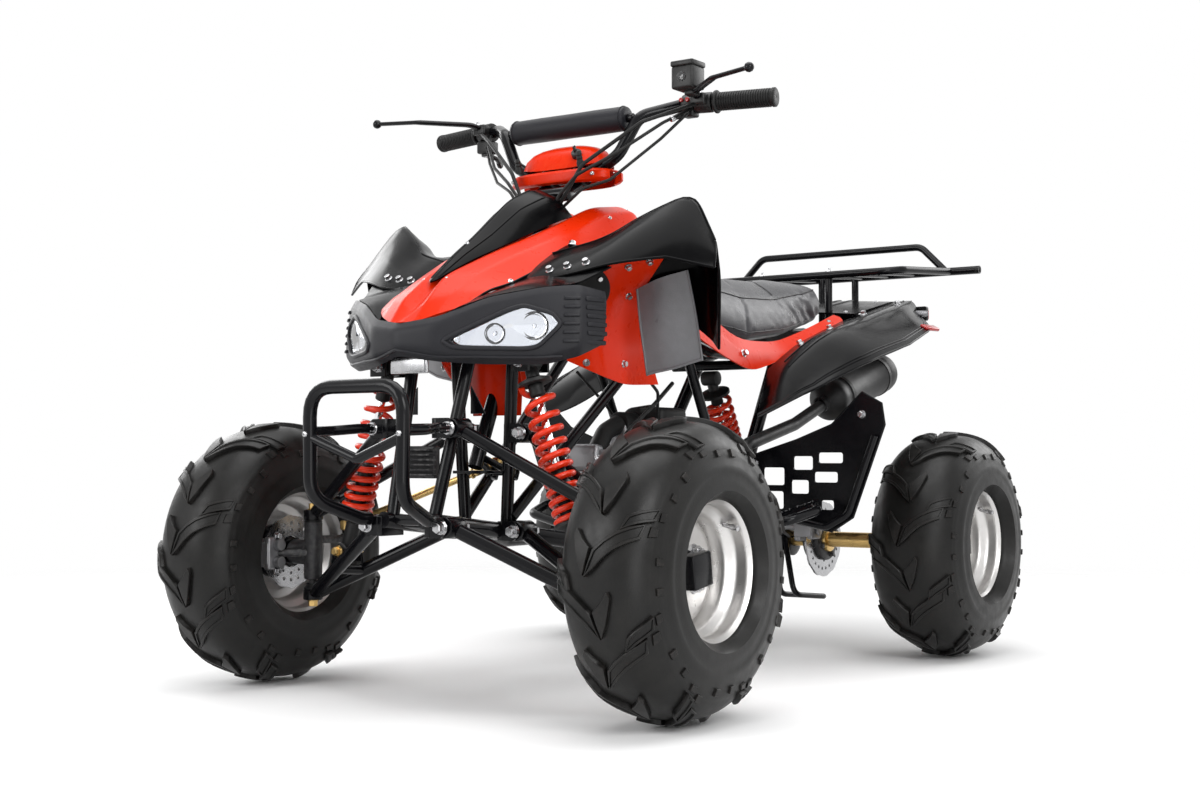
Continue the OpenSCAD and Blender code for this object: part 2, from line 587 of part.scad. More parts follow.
module rear_tyres() for (s = [-1, 1]) translate([s * rear_x, wheelbase, rear_z]) tyre(rear_tyre_d,
    rear_tyre_w);
module rear_caliper() color(grey) {
    rod([73.5, wheelbase - 77, rear_z + 29], [114, wheelbase - 77, rear_z + 30], 16);
    difference() {
        translate([rear_disc_x, wheelbase - rear_disc_d / 2 + 2, rear_z + 30]) cube([44, 44, 66],
            center = true);
        translate([rear_disc_x, wheelbase, rear_z]) rotate([0, 90, 0]) cylinder(h = 12,
            d = rear_disc_d + 10, center = true);
    }
}
guard_y = along(734);
rest_x = 104 + frame_d / 2 + 0.4;
module footrests() color(black) both() {
    $fn = 14;
    pipe([[rest_x, along(664), 252], [150, along(664), 252], [300, along(690), 306]], 26, 30);
    pipe([[rest_x, along(560), 252], [150, along(560), 252], [300, along(590), 284], [318, along(660), 300],
        [290, along(690), 306]], 18, 26);
    // The tube along the heel guard's lower and outer edges
    pipe([[200, along(680), 272], [206, guard_y - 7.4, 284], [300, guard_y - 7.4, 266], [346,
        guard_y - 7.4, 292],
        [402, guard_y - 7.4, 440]], 14, 24);
}
guard_outline = [[124, 399], [150, 407], [232, 432], [308, 461], [372, 522], [412, 500], [418, 460],
    [352, 286], [307, 258], [190, 280], [124, 300]];
// The guard's slots, as place and size
guard_slots = [[183, 362, 46, 34], [247, 388, 42, 26], [306, 398, 52, 20], [183, 316, 42, 34],
    [240, 342, 38, 26], [296, 361, 50, 20], [244, 288, 26, 18], [299, 308, 27, 18]];
module heel_guards() color(black) both() {
    translate([0, guard_y + 4, 0]) rotate([90, 0, 0]) linear_extrude(4) difference() {
        offset(r = 6) offset(delta = -6) polygon(guard_outline);
        for (b = guard_slots) translate([b[0], b[1]]) square([b[2], b[3]]);
    }
}

/* ---- steering ---- */
stem_top = on_stem(866);
pitman = steer_arm * [0, stem_axis.z, -stem_axis.y];
clamp_at = [0, 300, 903];
clamp_x = 34;
module steering_stem() color(black) {
    rod(on_stem(382.9), stem_top, stem_d);
    for (x = [-1, 1]) {
        // Pitman arm's bosses for the tie rods, then the handlebar's clamp
        rod(stem_low, stem_low + pitman + [x * 22, 0, 0], 12);
        rod(stem_low + pitman + [x * 22, 0, 0] - stem_axis * 8, stem_low + pitman + [x * 22, 0,
            0] + stem_axis * 8, 20);
        rod(stem_top + [x * clamp_x, 0, 0], clamp_at + [x * clamp_x, -10, -15], 18);
        rod(clamp_at + [x * clamp_x, 0, 16], clamp_at + [x * clamp_x, 0, 48.1], 10);
        sleeve(clamp_at + [x * (clamp_x - 10), 0, 0], clamp_at + [x * (clamp_x + 10), 0, 0], 38,
            bar_d + 0.3);
    }
    rod(stem_top - [clamp_x + 10, 0, 0], stem_top + [clamp_x + 10, 0, 0], 26);
}
bar_y = 398;
bar_bend = [212, 372, bar_h + 3];
pad_at = [150, 312, 1000];
function bar_end() = [bar_w / 2 - 3, bar_y, bar_h];
// A point of the handlebar's grip stretch, at a distance from the middle
function on_bar(x) = mix(bar_bend, bar_end(), (x - bar_bend.x) / (bar_end().x - bar_bend.x));
module handlebar() color(black) {
    half = [[60, clamp_at.y, clamp_at.z], [116, 300, 936], pad_at, bar_bend, bar_end()];
    pipe([for (i = [4:-1:0]) mirrored(half)[i], each half], bar_d, 40);
}
module bar_pad() color(black) {
    reach = pad_at.x - bar_d / 2 - 0.6;
    rod([-reach, pad_at.y, pad_at.z], [reach, pad_at.y, pad_at.z], 16);
    rod([-126, pad_at.y, pad_at.z], [126, pad_at.y, pad_at.z], 46);
}
grip_l = 114;
module grips() color(rubber) both() {
    sleeve(on_bar(bar_w / 2 - grip_l), on_bar(bar_w / 2 - 2), grip_d, bar_d + 0.2);
    rod(on_bar(bar_w / 2 - 2.6), on_bar(bar_w / 2), grip_d);
}
lever_ball = [412, 245, 1040];
perch = [230, 262];
module brake_controls() color(black) {
    $fn = 14;
    both() {
        sleeve(on_bar(perch[0]), on_bar(perch[1]), 36, bar_d + 1);
        pipe([on_bar(246) + [0, -15, 4], on_bar(246) + [4, -44, 10], lever_ball], 12, 16);
        translate(lever_ball) sphere(9);
    }
    translate([248, 318, bar_h + 38]) cube([46, 44, 52], center = true);
    rod(on_bar(246) + [0, -17, 8], [248, 330, bar_h + 16], 14);
    translate(mirrored([on_bar(246)])[0] + [0, 0, -28]) cube([32, 30, 24], center = true);
}
pod_rings = [[960, 40, 18, 12], [952, 66, 30, 10], [936, 92, 44, 6], [908, 108, 52, 2], [892, 112, 52,
    0], [886, 98, 46, 0]];
pod_foot = 880;
pod_middle = 302;
// The pod's form, and its inside as the same form drawn smaller
pod_inside = 0.93;
module pod_form(k) skin([for (r = pod_rings) let (w = r[1] * k, d = r[2] * k)
    [for (p = soft_ring([[-w, -d], [w, -d], [w * 0.8, d], [-w * 0.8, d]], 3, 0.35))
        [p.x, pod_middle + p.y + r[3], pod_foot + (r[0] - pod_foot) * k]]]);
module instrument_pod() color(orange) difference() {
    pod_form(1);
    pod_form(pod_inside);
    // Windows for the handlebar
    for (s = [-1, 1]) translate([s * 100, clamp_at.y, 880]) cube([80, 34, 136], center = true);
}
cable_r = 3.5;
module control_cables() color(black) for (s = [-1, 1])
    pipe([[s * on_bar(246).x, on_bar(246).y - 21.2, on_bar(246).z - 3], [s * 170, 290, 985], [s * 78,
        240, 912],
        [s * 54, 232, 870]], 2 * cable_r, 30);

module tie_rod(side) {
    a = stem_low + pitman + [22, 0, 0];
    color("#b08d3a") mirror([side < 0 ? 1 : 0, 0, 0]) {
        rod(a + stem_axis * 8.6, a + stem_axis * 29, 22);
        rod(a + stem_axis * 20.5, steer_end + [0, 0, 12], 13);
        rod(steer_end + [0, 0, 2.4], steer_end + [0, 0, 21], 22);
    }
}

/* ---- the nodes, in the row's place ---- */
placed() frame();
placed() lower_arms();
placed() upper_arms();
placed() front_shocks();
placed() front_bumper();
placed() headlight_bezel();
placed() headlights();
placed() nose_cowl();
placed() steering_cover();
placed() front_fender();  // front_fender_left
placed() mirror([1, 0, 0]) front_fender();  // front_fender_right
placed() fender_liners();
placed() tank_cover();
placed() seat();
placed() side_panels();
placed() rear_fender();  // rear_fender_left
placed() mirror([1, 0, 0]) rear_fender();  // rear_fender_right
placed() tail_cover();
placed() rear_rack();
placed() tail_light();
placed() engine();
placed() exhaust();
placed() swingarm();
placed() rear_shock();
placed() rear_caliper();
placed() footrests();
placed() heel_guards();
placed() steering_stem();
placed() handlebar();
placed() bar_pad();
placed() grips();
placed() brake_controls();
placed() instrument_pod();
placed() control_cables();
placed() tie_rod(1);  // tie_rod_left
placed() tie_rod(-1);  // tie_rod_right
placed() knuckle(1);  // knuckle_left
placed() knuckle(-1);  // knuckle_right
placed() front_rim(1);  // front_rim_left
placed() front_tyre(1);  // front_tyre_left
placed() front_rim(-1);  // front_rim_right
placed() front_tyre(-1);  // front_tyre_right
placed() rear_axle();
placed() rear_rims();
placed() rear_tyres();
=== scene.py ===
"""Looks of a small quad bike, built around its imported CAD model. Lengths in the drawing are millimetres."""
import math

import bmesh
import bpy
from mathutils import Matrix, Vector
from mathutils.bvhtree import BVHTree


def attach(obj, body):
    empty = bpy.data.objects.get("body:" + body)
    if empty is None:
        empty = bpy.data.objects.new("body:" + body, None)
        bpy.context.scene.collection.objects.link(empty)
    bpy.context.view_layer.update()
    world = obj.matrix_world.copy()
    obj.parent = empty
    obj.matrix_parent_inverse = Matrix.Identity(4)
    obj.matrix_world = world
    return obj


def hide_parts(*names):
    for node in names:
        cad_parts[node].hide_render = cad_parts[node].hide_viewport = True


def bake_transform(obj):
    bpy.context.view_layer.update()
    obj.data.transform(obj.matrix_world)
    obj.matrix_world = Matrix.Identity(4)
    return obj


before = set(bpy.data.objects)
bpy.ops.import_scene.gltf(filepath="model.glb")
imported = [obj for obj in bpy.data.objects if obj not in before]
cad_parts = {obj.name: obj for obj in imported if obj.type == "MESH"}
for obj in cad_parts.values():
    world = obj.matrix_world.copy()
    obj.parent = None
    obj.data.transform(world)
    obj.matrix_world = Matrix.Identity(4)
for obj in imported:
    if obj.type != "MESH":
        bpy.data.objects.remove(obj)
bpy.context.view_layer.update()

MM = 0.001
WHEELBASE = 1040
MIDDLE_Y = 565.5  # the row's middle behind the front axle


def spot(x, y, z):
    """A point of the drawing, taken from the front axle's middle on the ground, in the row's metres."""
    return Vector((x, y - MIDDLE_Y, z)) * MM


def spots(points):
    return [spot(*p) for p in points]


# ---- studio ----
FLOOR_FADE = (1.5, 3.4)


def studio():
    """Camera, soft lamps, a pale floor that fades out, and a white surround."""
    scene = bpy.context.scene
    scene.view_settings.view_transform = "Standard"
    camera = bpy.data.objects.new("Camera", bpy.data.cameras.new("Camera"))
    scene.collection.objects.link(camera)
    camera.location = (1.7707, -2.67575, 0.4048)
    camera.rotation_euler = (math.radians(91.87), 0, math.radians(35.14))
    camera.data.lens = 49.85
    camera.data.sensor_width = 36
    camera.data.clip_start = 0.02
    scene.camera = camera
    for name, place, size, power in (
        ("top", (0.2, -0.2, 2.6), 2.2, 44),
        ("key", (2.6, -1.6, 1.9), 1.3, 40),
        ("front", (-1.2, -3.0, 1.5), 1.4, 34),
        ("side", (-2.8, 0.4, 1.7), 1.5, 26),
        ("back", (1.2, 3.0, 1.9), 1.6, 30),
        ("low", (1.9, -1.9, 0.25), 0.9, 7),
    ):
        lamp = bpy.data.lights.new(name, "AREA")
        lamp.shape = "SQUARE"
        lamp.size = size
        lamp.energy = power
        holder = bpy.data.objects.new(name, lamp)
        scene.collection.objects.link(holder)
        holder.location = place
        holder.rotation_euler = (Vector((0, 0, 0.4)) - Vector(place)).to_track_quat("-Z", "Y").to_euler()
    world = bpy.data.worlds.new("Surround")
    scene.world = world
    world.use_nodes = True
    tree = world.node_tree
    path = tree.nodes.new("ShaderNodeLightPath")
    seen = add(tree, "Math", {0: path.outputs["Is Camera Ray"], 1: path.outputs["Is Glossy Ray"]},
        operation="MAXIMUM")
    seen = add(tree, "Math", {0: seen.outputs[0], 1: path.outputs["Is Transmission Ray"]},
        operation="MAXIMUM")
    level = add(tree, "Map Range", {"Value": seen.outputs[0], "To Min": 0.55, "To Max": 1.0})
    back = tree.nodes["Background"]
    back.inputs["Color"].default_value = (1, 1, 1, 1)
    tree.links.new(level.outputs[0], back.inputs["Strength"])
    bm = bmesh.new()
    bmesh.ops.create_grid(bm, x_segments=8, y_segments=8, size=4.5)
    floor = put("floor", bm)
    mat = bpy.data.materials.new("pale floor")
    mat.use_nodes = True
    tree = mat.node_tree
    shader = tree.nodes["Principled BSDF"]
    shader.inputs["Base Color"].default_value = (0.93, 0.93, 0.93, 1)
    shader.inputs["Roughness"].default_value = 0.75
    where = tree.nodes.new("ShaderNodeTexCoord")
    reach = add(tree, "Vector Math", {0: where.outputs["Object"]}, operation="LENGTH")
    fade = add(tree, "Map Range", {"Value": reach.outputs["Value"], "From Min": FLOOR_FADE[0],
            "From Max": FLOOR_FADE[1],
            "To Min": 1.0, "To Max": 0.0}, interpolation_type="SMOOTHSTEP")
    tree.links.new(fade.outputs[0], shader.inputs["Alpha"])
    floor.data.materials.append(mat)


# ---- finishes ----
def add(tree, kind, inputs=None, **settings):
    """One shader node, with its settings, and values or links for its inputs."""
    node = tree.nodes.new("ShaderNode" + {"Map Range": "MapRange",
            "Vector Math": "VectorMath"}.get(kind, kind))
    for key, value in settings.items():
        setattr(node, key, value)
    for key, value in (inputs or {}).items():
        if isinstance(value, bpy.types.NodeSocket):
            tree.links.new(value, node.inputs[key])
        else:
            node.inputs[key].default_value = value
    return node


def effect(name, inputs, outputs):
    """An empty effect group with named inputs and outputs, and its two end nodes."""
    tree = bpy.data.node_groups.new(name, "ShaderNodeTree")
    for label, value in inputs.items():
        kind = "NodeSocketFloat"
        if value is None:
            kind = "NodeSocketVector"
        elif isinstance(value, tuple):
            kind = "NodeSocketColor"
        socket = tree.interface.new_socket(label, in_out="INPUT", socket_type=kind)
        if value is not None:
            socket.default_value = value
    for label, kind in outputs.items():
        tree.interface.new_socket(label, in_out="OUTPUT", socket_type="NodeSocket" + kind)
    return tree, tree.nodes.new("NodeGroupInput").outputs, tree.nodes.new("NodeGroupOutput").inputs


def grain_effect():
    """Moulded grain: small cells over finer noise."""
    tree, give, take = effect("Moulded Grain", {"Vector": None, "Scale": 900.0, "Cells": 0.5},
        {"Height": "Float"})
    cells = add(tree, "TexVoronoi", {"Vector": give["Vector"], "Scale": give["Scale"]}, feature="SMOOTH_F1")
    noise = add(tree, "TexNoise", {"Vector": give["Vector"], "Scale": give["Scale"], "Detail": 4.0})
    mixed = add(tree, "Mix", {"Factor": give["Cells"], "A": noise.outputs["Fac"],
            "B": cells.outputs["Distance"]})
    tree.links.new(mixed.outputs[0], take["Height"])
    return tree


def handling_effect():
    """Uneven sheen and a slight drift of the colour, as handling leaves."""
    tree, give, take = effect("Handling", {"Vector": None, "Color": (1, 1, 1, 1), "Roughness": 0.4,
            "Amount": 0.3, "Scale": 7.0},
        {"Color": "Color", "Roughness": "Float"})
    wide = add(tree, "TexNoise", {"Vector": give["Vector"], "Scale": give["Scale"], "Detail": 6.0,
            "Roughness": 0.62})
    fine = add(tree, "TexNoise", {"Vector": give["Vector"], "Scale": 60.0, "Detail": 3.0})
    both = add(tree, "Math", {0: wide.outputs["Fac"], 1: fine.outputs["Fac"]}, operation="MULTIPLY")
    swing = add(tree, "Math", {0: both.outputs[0], 1: 0.25}, operation="SUBTRACT")
    scaled = add(tree, "Math", {0: swing.outputs[0], 1: give["Amount"]}, operation="MULTIPLY")
    rough = add(tree, "Math", {0: scaled.outputs[0], 1: give["Roughness"]}, operation="ADD", use_clamp=True)
    tone = add(tree, "Math", {0: scaled.outputs[0], 1: 1.0}, operation="ADD")
    shade = add(tree, "HueSaturation", {"Color": give["Color"], "Value": tone.outputs[0]})
    tree.links.new(shade.outputs[0], take["Color"])
    tree.links.new(rough.outputs[0], take["Roughness"])
    return tree


def rub_effect():
    """Wear along edges: a paler colour where the surface is sharp, broken up by noise."""
    tree, give, take = effect("Edge Rub", {"Vector": None, "Color": (1, 1, 1, 1),
            "Rubbed": (0.5, 0.5, 0.5, 1), "Amount": 0.3},
        {"Color": "Color", "Mask": "Float"})
    shape = tree.nodes.new("ShaderNodeNewGeometry")
    edge = add(tree, "Map Range", {"Value": shape.outputs["Pointiness"], "From Min": 0.53,
            "From Max": 0.62})
    noise = add(tree, "TexNoise", {"Vector": give["Vector"], "Scale": 120.0, "Detail": 5.0})
    broken = add(tree, "Map Range", {"Value": noise.outputs["Fac"], "From Min": 0.42, "From Max": 0.62})
    mask = add(tree, "Math", {0: edge.outputs[0], 1: broken.outputs[0]}, operation="MULTIPLY")
    mask = add(tree, "Math", {0: mask.outputs[0], 1: give["Amount"]}, operation="MULTIPLY")
    mixed = add(tree, "Mix", {"Factor": mask.outputs[0], "A": give["Color"], "B": give["Rubbed"]},
        data_type="RGBA")
    tree.links.new(mixed.outputs["Result"], take["Color"])
    tree.links.new(mask.outputs[0], take["Mask"])
    return tree


def dust_effect():
    """Workshop dust: a pale film in drifts, more of it low down."""
    tree, give, take = effect("Dust Film", {"Vector": None, "Color": (1, 1, 1, 1),
            "Dust": (0.3, 0.27, 0.23, 1), "Amount": 0.2},
        {"Color": "Color", "Mask": "Float"})
    apart = add(tree, "SeparateXYZ", {0: give["Vector"]})
    low = add(tree, "Map Range", {"Value": apart.outputs["Z"], "From Min": 0.0, "From Max": 0.6,
            "To Min": 1.0, "To Max": 0.3})
    noise = add(tree, "TexNoise", {"Vector": give["Vector"], "Scale": 11.0, "Detail": 8.0,
            "Roughness": 0.7})
    drift = add(tree, "Map Range", {"Value": noise.outputs["Fac"], "From Min": 0.45, "From Max": 0.75})
    mask = add(tree, "Math", {0: low.outputs[0], 1: drift.outputs[0]}, operation="MULTIPLY")
    mask = add(tree, "Math", {0: mask.outputs[0], 1: give["Amount"]}, operation="MULTIPLY")
    mixed = add(tree, "Mix", {"Factor": mask.outputs[0], "A": give["Color"], "B": give["Dust"]},
        data_type="RGBA")
    tree.links.new(mixed.outputs["Result"], take["Color"])
    tree.links.new(mask.outputs[0], take["Mask"])
    return tree


EFFECTS = {"grain": grain_effect(), "handling": handling_effect(), "rub": rub_effect(),
    "dust": dust_effect()}


def use(tree, name, inputs):
    """One effect group placed in a material."""
    node = tree.nodes.new("ShaderNodeGroup")
    node.node_tree = EFFECTS[name]
    for key, value in inputs.items():
        if isinstance(value, bpy.types.NodeSocket):
            tree.links.new(value, node.inputs[key])
        else:
            node.inputs[key].default_value = value
    return node.outputs


def finish(name, colour, rough, metal=0.0, coat=0.0, specular=0.5, grain=None, depth=0.0, cells=0.5,
        handling=0.3, rubbed=None, rub=0.0, dust=0.0, sheen=0.0, transmission=0.0):
    """A procedural material of one of the bike's finishes."""
    mat = bpy.data.materials.new(name)
    mat.use_nodes = True
    tree = mat.node_tree
    shader = tree.nodes["Principled BSDF"]
    where = tree.nodes.new("ShaderNodeTexCoord").outputs["Object"]
    out = use(tree, "handling", {"Vector": where, "Color": (*colour, 1), "Roughness": rough,
            "Amount": handling})
    tone, gloss = out["Color"], out["Roughness"]
    if rub:
        out = use(tree, "rub", {"Vector": where, "Color": tone, "Rubbed": (*rubbed, 1), "Amount": rub})
        tone = out["Color"]
    if dust:
        out = use(tree, "dust", {"Vector": where, "Color": tone, "Amount": dust})
        tone = out["Color"]
        gloss = add(tree, "Math", {0: gloss, 1: out["Mask"]}, operation="ADD", use_clamp=True).outputs[0]
    tree.links.new(tone, shader.inputs["Base Color"])
    tree.links.new(gloss, shader.inputs["Roughness"])
    if grain:
        out = use(tree, "grain", {"Vector": where, "Scale": grain, "Cells": cells})
        bump = add(tree, "Bump", {"Strength": depth, "Distance": 0.0006, "Height": out["Height"]})
        tree.links.new(bump.outputs[0], shader.inputs["Normal"])
    for socket, value in (("Metallic", metal), ("Coat Weight", coat), ("Specular IOR Level", specular),
            ("Sheen Weight", sheen),
            ("Transmission Weight", transmission)):
        shader.inputs[socket].default_value = value
    shader.inputs["Coat Roughness"].default_value = 0.08
    return mat


PALE_RUB = (0.35, 0.34, 0.33)
FINISH = {
    "black paint": finish("black paint", (0.003, 0.003, 0.004), 0.2, specular=0.2, grain=220, depth=0.03,
        cells=0.2, dust=0.005),
    "orange plastic": finish("orange plastic", (0.62, 0.02, 0.0004), 0.28, specular=0.09, coat=0.02,
        grain=320, depth=0.03, cells=0.3, rubbed=(0.8, 0.15, 0.05), rub=0.06, handling=0.1),
    "black plastic": finish("black plastic", (0.0012, 0.0012, 0.0015), 0.2, specular=0.07, grain=260,
        depth=0.03, cells=0.3, rubbed=(0.02, 0.02, 0.02), rub=0.1, dust=0.002),
    "grained plastic": finish("grained plastic", (0.014, 0.014, 0.017), 0.45, specular=0.22, grain=1300,
        depth=0.35, rubbed=(0.05, 0.05, 0.05), rub=0.15, dust=0.015),
    "control black": finish("control black", (0.006, 0.006, 0.006), 0.4, specular=0.3, grain=700, depth=0.2,
        rubbed=(0.08, 0.08, 0.08), rub=0.4),
    "pad cover": finish("pad cover", (0.008, 0.008, 0.011), 0.42, specular=0.2, grain=1100, depth=0.5,
        cells=0.9, sheen=0.05),
    "seat vinyl": finish("seat vinyl", (0.035, 0.035, 0.039), 0.3, specular=0.4, grain=620, depth=0.5,
        cells=0.85, sheen=0.05, handling=0.4, dust=0.03),
    "seat side vinyl": finish("seat side vinyl", (0.012, 0.012, 0.013), 0.3, specular=0.4, grain=620,
        depth=0.3, cells=0.85, handling=0.3),
    "grey flap": finish("grey flap", (0.15, 0.15, 0.158), 0.34, specular=0.5, grain=500, depth=0.4,
        cells=0.6, handling=0.6),
    "tyre rubber": finish("tyre rubber", (0.005, 0.0048, 0.0045), 0.38, specular=0.24, grain=500, depth=0.3,
        cells=0.3, handling=0.6, rubbed=(0.04, 0.033, 0.03), rub=0.25, dust=0.025),
    "soft rubber": finish("soft rubber", (0.006, 0.006, 0.006), 0.5, specular=0.25, grain=900, depth=0.4,
        handling=0.3),
    "silver rim": finish("silver rim", (0.62, 0.61, 0.6), 0.3, metal=0.9, grain=1500, depth=0.1, cells=0.1,
        handling=0.35, dust=0.1),
    "bright zinc": finish("bright zinc", (0.46, 0.46, 0.47), 0.26, metal=1.0, grain=700, depth=0.15,
        handling=0.5),
    "yellow zinc": finish("yellow zinc", (0.62, 0.42, 0.16), 0.3, metal=1.0, grain=500, depth=0.15,
        handling=0.6, dust=0.1),
    "spring paint": finish("spring paint", (0.74, 0.03, 0.004), 0.28, specular=0.35, coat=0.1, grain=300,
        depth=0.05, handling=0.2, dust=0.03),
    "cast alloy": finish("cast alloy", (0.26, 0.26, 0.27), 0.4, metal=0.85, grain=420, depth=0.6,
        cells=0.35, handling=0.5, dust=0.2),
    "dark cast": finish("dark cast", (0.02, 0.02, 0.022), 0.4, specular=0.3, grain=420, depth=0.5,
        rubbed=PALE_RUB, rub=0.2, dust=0.05),
    "hot black": finish("hot black", (0.009, 0.009, 0.0095), 0.45, specular=0.3, grain=700, depth=0.25,
        dust=0.05, handling=0.4),
    "chrome": finish("chrome", (0.85, 0.86, 0.88), 0.06, metal=1.0, handling=0.06),
    "clear lens": finish("clear lens", (0.97, 0.98, 1.0), 0.02, handling=0.02, transmission=1.0),
    "red lens": finish("red lens", (0.35, 0.006, 0.006), 0.12, coat=0.3, handling=0.1, grain=160, depth=0.5,
        cells=1.0),
    "silver grey": finish("silver grey", (0.2, 0.2, 0.21), 0.34, metal=0.5, handling=0.3, grain=400,
        depth=0.1),
}


# ---- making pieces ----
def put(name, bm):
    """An object of that mesh, at the origin."""
    mesh = bpy.data.meshes.new(name)
    bm.to_mesh(mesh)
    bm.free()
    obj = bpy.data.objects.new(name, mesh)
    bpy.context.scene.collection.objects.link(obj)
    return obj


def piece(name, bm, body, finish_name, *nodes, smooth=35, bevel=0.0, wall=0.0, subdivide=0):
    """A finished piece: smooth shaded up to an angle, with its finish, its body and its CAD nodes."""
    obj = put(name, bm)
    obj.data.shade_smooth()
    obj.data.set_sharp_from_angle(angle=math.radians(smooth))
    obj.data.materials.append(FINISH[finish_name])
    if wall:
        wall_step = obj.modifiers.new("wall", "SOLIDIFY")
        wall_step.thickness = wall * MM
        wall_step.offset = -1
    if bevel:
        edge = obj.modifiers.new("edge", "BEVEL")
        edge.width = bevel * MM
        edge.segments = 2
        edge.limit_method = "ANGLE"
        edge.angle_limit = math.radians(38)
    if subdivide:
        smoother = obj.modifiers.new("smoother", "SUBSURF")
        smoother.levels = subdivide
        smoother.render_levels = subdivide
    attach(obj, body)
    if nodes:
        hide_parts(*nodes)
    return obj


def join(*parts):
    """Several meshes as one."""
    whole = bmesh.new()
    for part in parts:
        mesh = bpy.data.meshes.new("part")
        part.to_mesh(mesh)
        part.free()
        whole.from_mesh(mesh)
        bpy.data.meshes.remove(mesh)
    return whole


def bent(points, bend, steps=6):
    """A path in metres with its inner corners rounded."""
    path = [points[0]]
    for before, here, after in zip(points, points[1:], points[2:]):
        u, v = (here - before).normalized(), (after - here).normalized()
        cut = min(bend * MM * math.tan(u.angle(v, 0) / 2), 0.47 * (here - before).length,
            0.47 * (after - here).length)
        a, b = here - u * cut, here + v * cut
        path += [a.lerp(here, t).lerp(here.lerp(b, t), t) for t in (k / steps for k in range(steps + 1))]
    return path + [points[-1]]


def tubes(*runs, sides=5):
    """Round tubes along paths: each run is its points in the drawing, its diameter and its bend."""
    curve = bpy.data.curves.new("tubes", "CURVE")
    curve.dimensions = "3D"
    curve.bevel_depth = MM
    curve.bevel_resolution = sides
    curve.use_fill_caps = True
    for points, diameter, bend in runs:
        path = bent(spots(points), bend) if bend else spots(points)
        spline = curve.splines.new("POLY")
        spline.points.add(len(path) - 1)
        for point, here in zip(spline.points, path):
            point.co = (*here, 1)
            point.radius = diameter / 2
    holder = bpy.data.objects.new("tubes", curve)
    bpy.context.scene.collection.objects.link(holder)
    mesh = bpy.data.meshes.new_from_object(holder)
    bm = bmesh.new()
    bm.from_mesh(mesh)
    bpy.data.objects.remove(holder)
    bpy.data.meshes.remove(mesh)
    bmesh.ops.remove_doubles(bm, verts=bm.verts, dist=1e-6)
    return bm


def toward(axis):
    """A turn that takes +Z to that direction."""
    return Vector(axis).to_track_quat("Z", "Y").to_matrix().to_4x4()


def drum(start, end, diameter, edge=0.8, sides=32):
    """A turned bar between two points of the drawing, with its rims bevelled."""
    a, b = spot(*start), spot(*end)
    bm = bmesh.new()
    bmesh.ops.create_cone(bm, cap_ends=True, segments=sides, radius1=diameter / 2 * MM,
        radius2=diameter / 2 * MM, depth=(b - a).length)
    if edge:
        rims = [e for e in bm.edges if len(e.link_faces) == 2
            and any(len(f.verts) == sides for f in e.link_faces)]
        bmesh.ops.bevel(bm, geom=rims, offset=edge * MM, affect="EDGES", segments=2, profile=0.5,
            material=-1)
    bmesh.ops.transform(bm, matrix=Matrix.Translation((a + b) / 2) @ toward(b - a), verts=bm.verts)
    return bm


def block(centre, size, edge=2.0, turn=None, segments=3):
    """A box with rounded edges."""
    bm = bmesh.new()
    bmesh.ops.create_cube(bm, size=1)
    bmesh.ops.scale(bm, vec=Vector(size) * MM, verts=bm.verts)
    bmesh.ops.bevel(bm, geom=bm.edges[:], offset=edge * MM, affect="EDGES", segments=segments, profile=0.5,
        material=-1)
    where = Matrix.Translation(spot(*centre))
    bmesh.ops.transform(bm, matrix=where @ turn if turn else where, verts=bm.verts)
    return bm


def ring(centre, axis, profile, sides=48):
    """A turned form: its outline as (radius, along the axis), spun about the axis through that centre."""
    bm = bmesh.new()
    verts = [bm.verts.new((r * MM, 0, h * MM)) for r, h in profile]
    edges = [bm.edges.new(pair) for pair in zip(verts, verts[1:])]
    bmesh.ops.spin(bm, geom=verts + edges, cent=(0, 0, 0), axis=(0, 0, 1), angle=math.tau, steps=sides,
        use_merge=True)
    bmesh.ops.remove_doubles(bm, verts=bm.verts, dist=1e-6)
    bmesh.ops.recalc_face_normals(bm, faces=bm.faces)
    bmesh.ops.transform(bm, matrix=Matrix.Translation(spot(*centre)) @ toward(axis), verts=bm.verts)
    return bm


def bolt(at, axis, size=12.0):
    """A flanged hexagon head standing on a surface."""
    bm = bmesh.new()
    bmesh.ops.create_cone(bm, cap_ends=True, segments=6, radius1=size / 2 * MM, radius2=size / 2 * MM,
        depth=size * 0.55 * MM)
    bmesh.ops.translate(bm, vec=(0, 0, size * 0.4 * MM), verts=bm.verts)
    top = [f for f in bm.faces if f.normal.z > 0.9]
    bmesh.ops.bevel(bm, geom=list(top[0].edges), offset=size * 0.06 * MM, affect="EDGES", segments=1,
        profile=0.5, material=-1)
    bmesh.ops.create_cone(bm, cap_ends=True, segments=20, radius1=size * 0.72 * MM, radius2=size * 0.6 * MM,
        depth=size * 0.22 * MM)
    bmesh.ops.transform(bm, matrix=Matrix.Translation(spot(*at)) @ toward(axis), verts=bm.verts)
    return bm


def button(at, axis, size=11.0):
    """A low round-headed screw with a recess."""
    bm = ring((0, MIDDLE_Y, 0), (0, 0, 1), [(0.0001, size * 0.12), (size * 0.16, size * 0.12),
            (size * 0.2, size * 0.26),
            (size * 0.36, size * 0.22), (size * 0.5, size * 0.02),
            (size * 0.5, -size * 0.1)], 20)
    bmesh.ops.transform(bm, matrix=Matrix.Translation(spot(*at)) @ toward(axis), verts=bm.verts)
    return bm


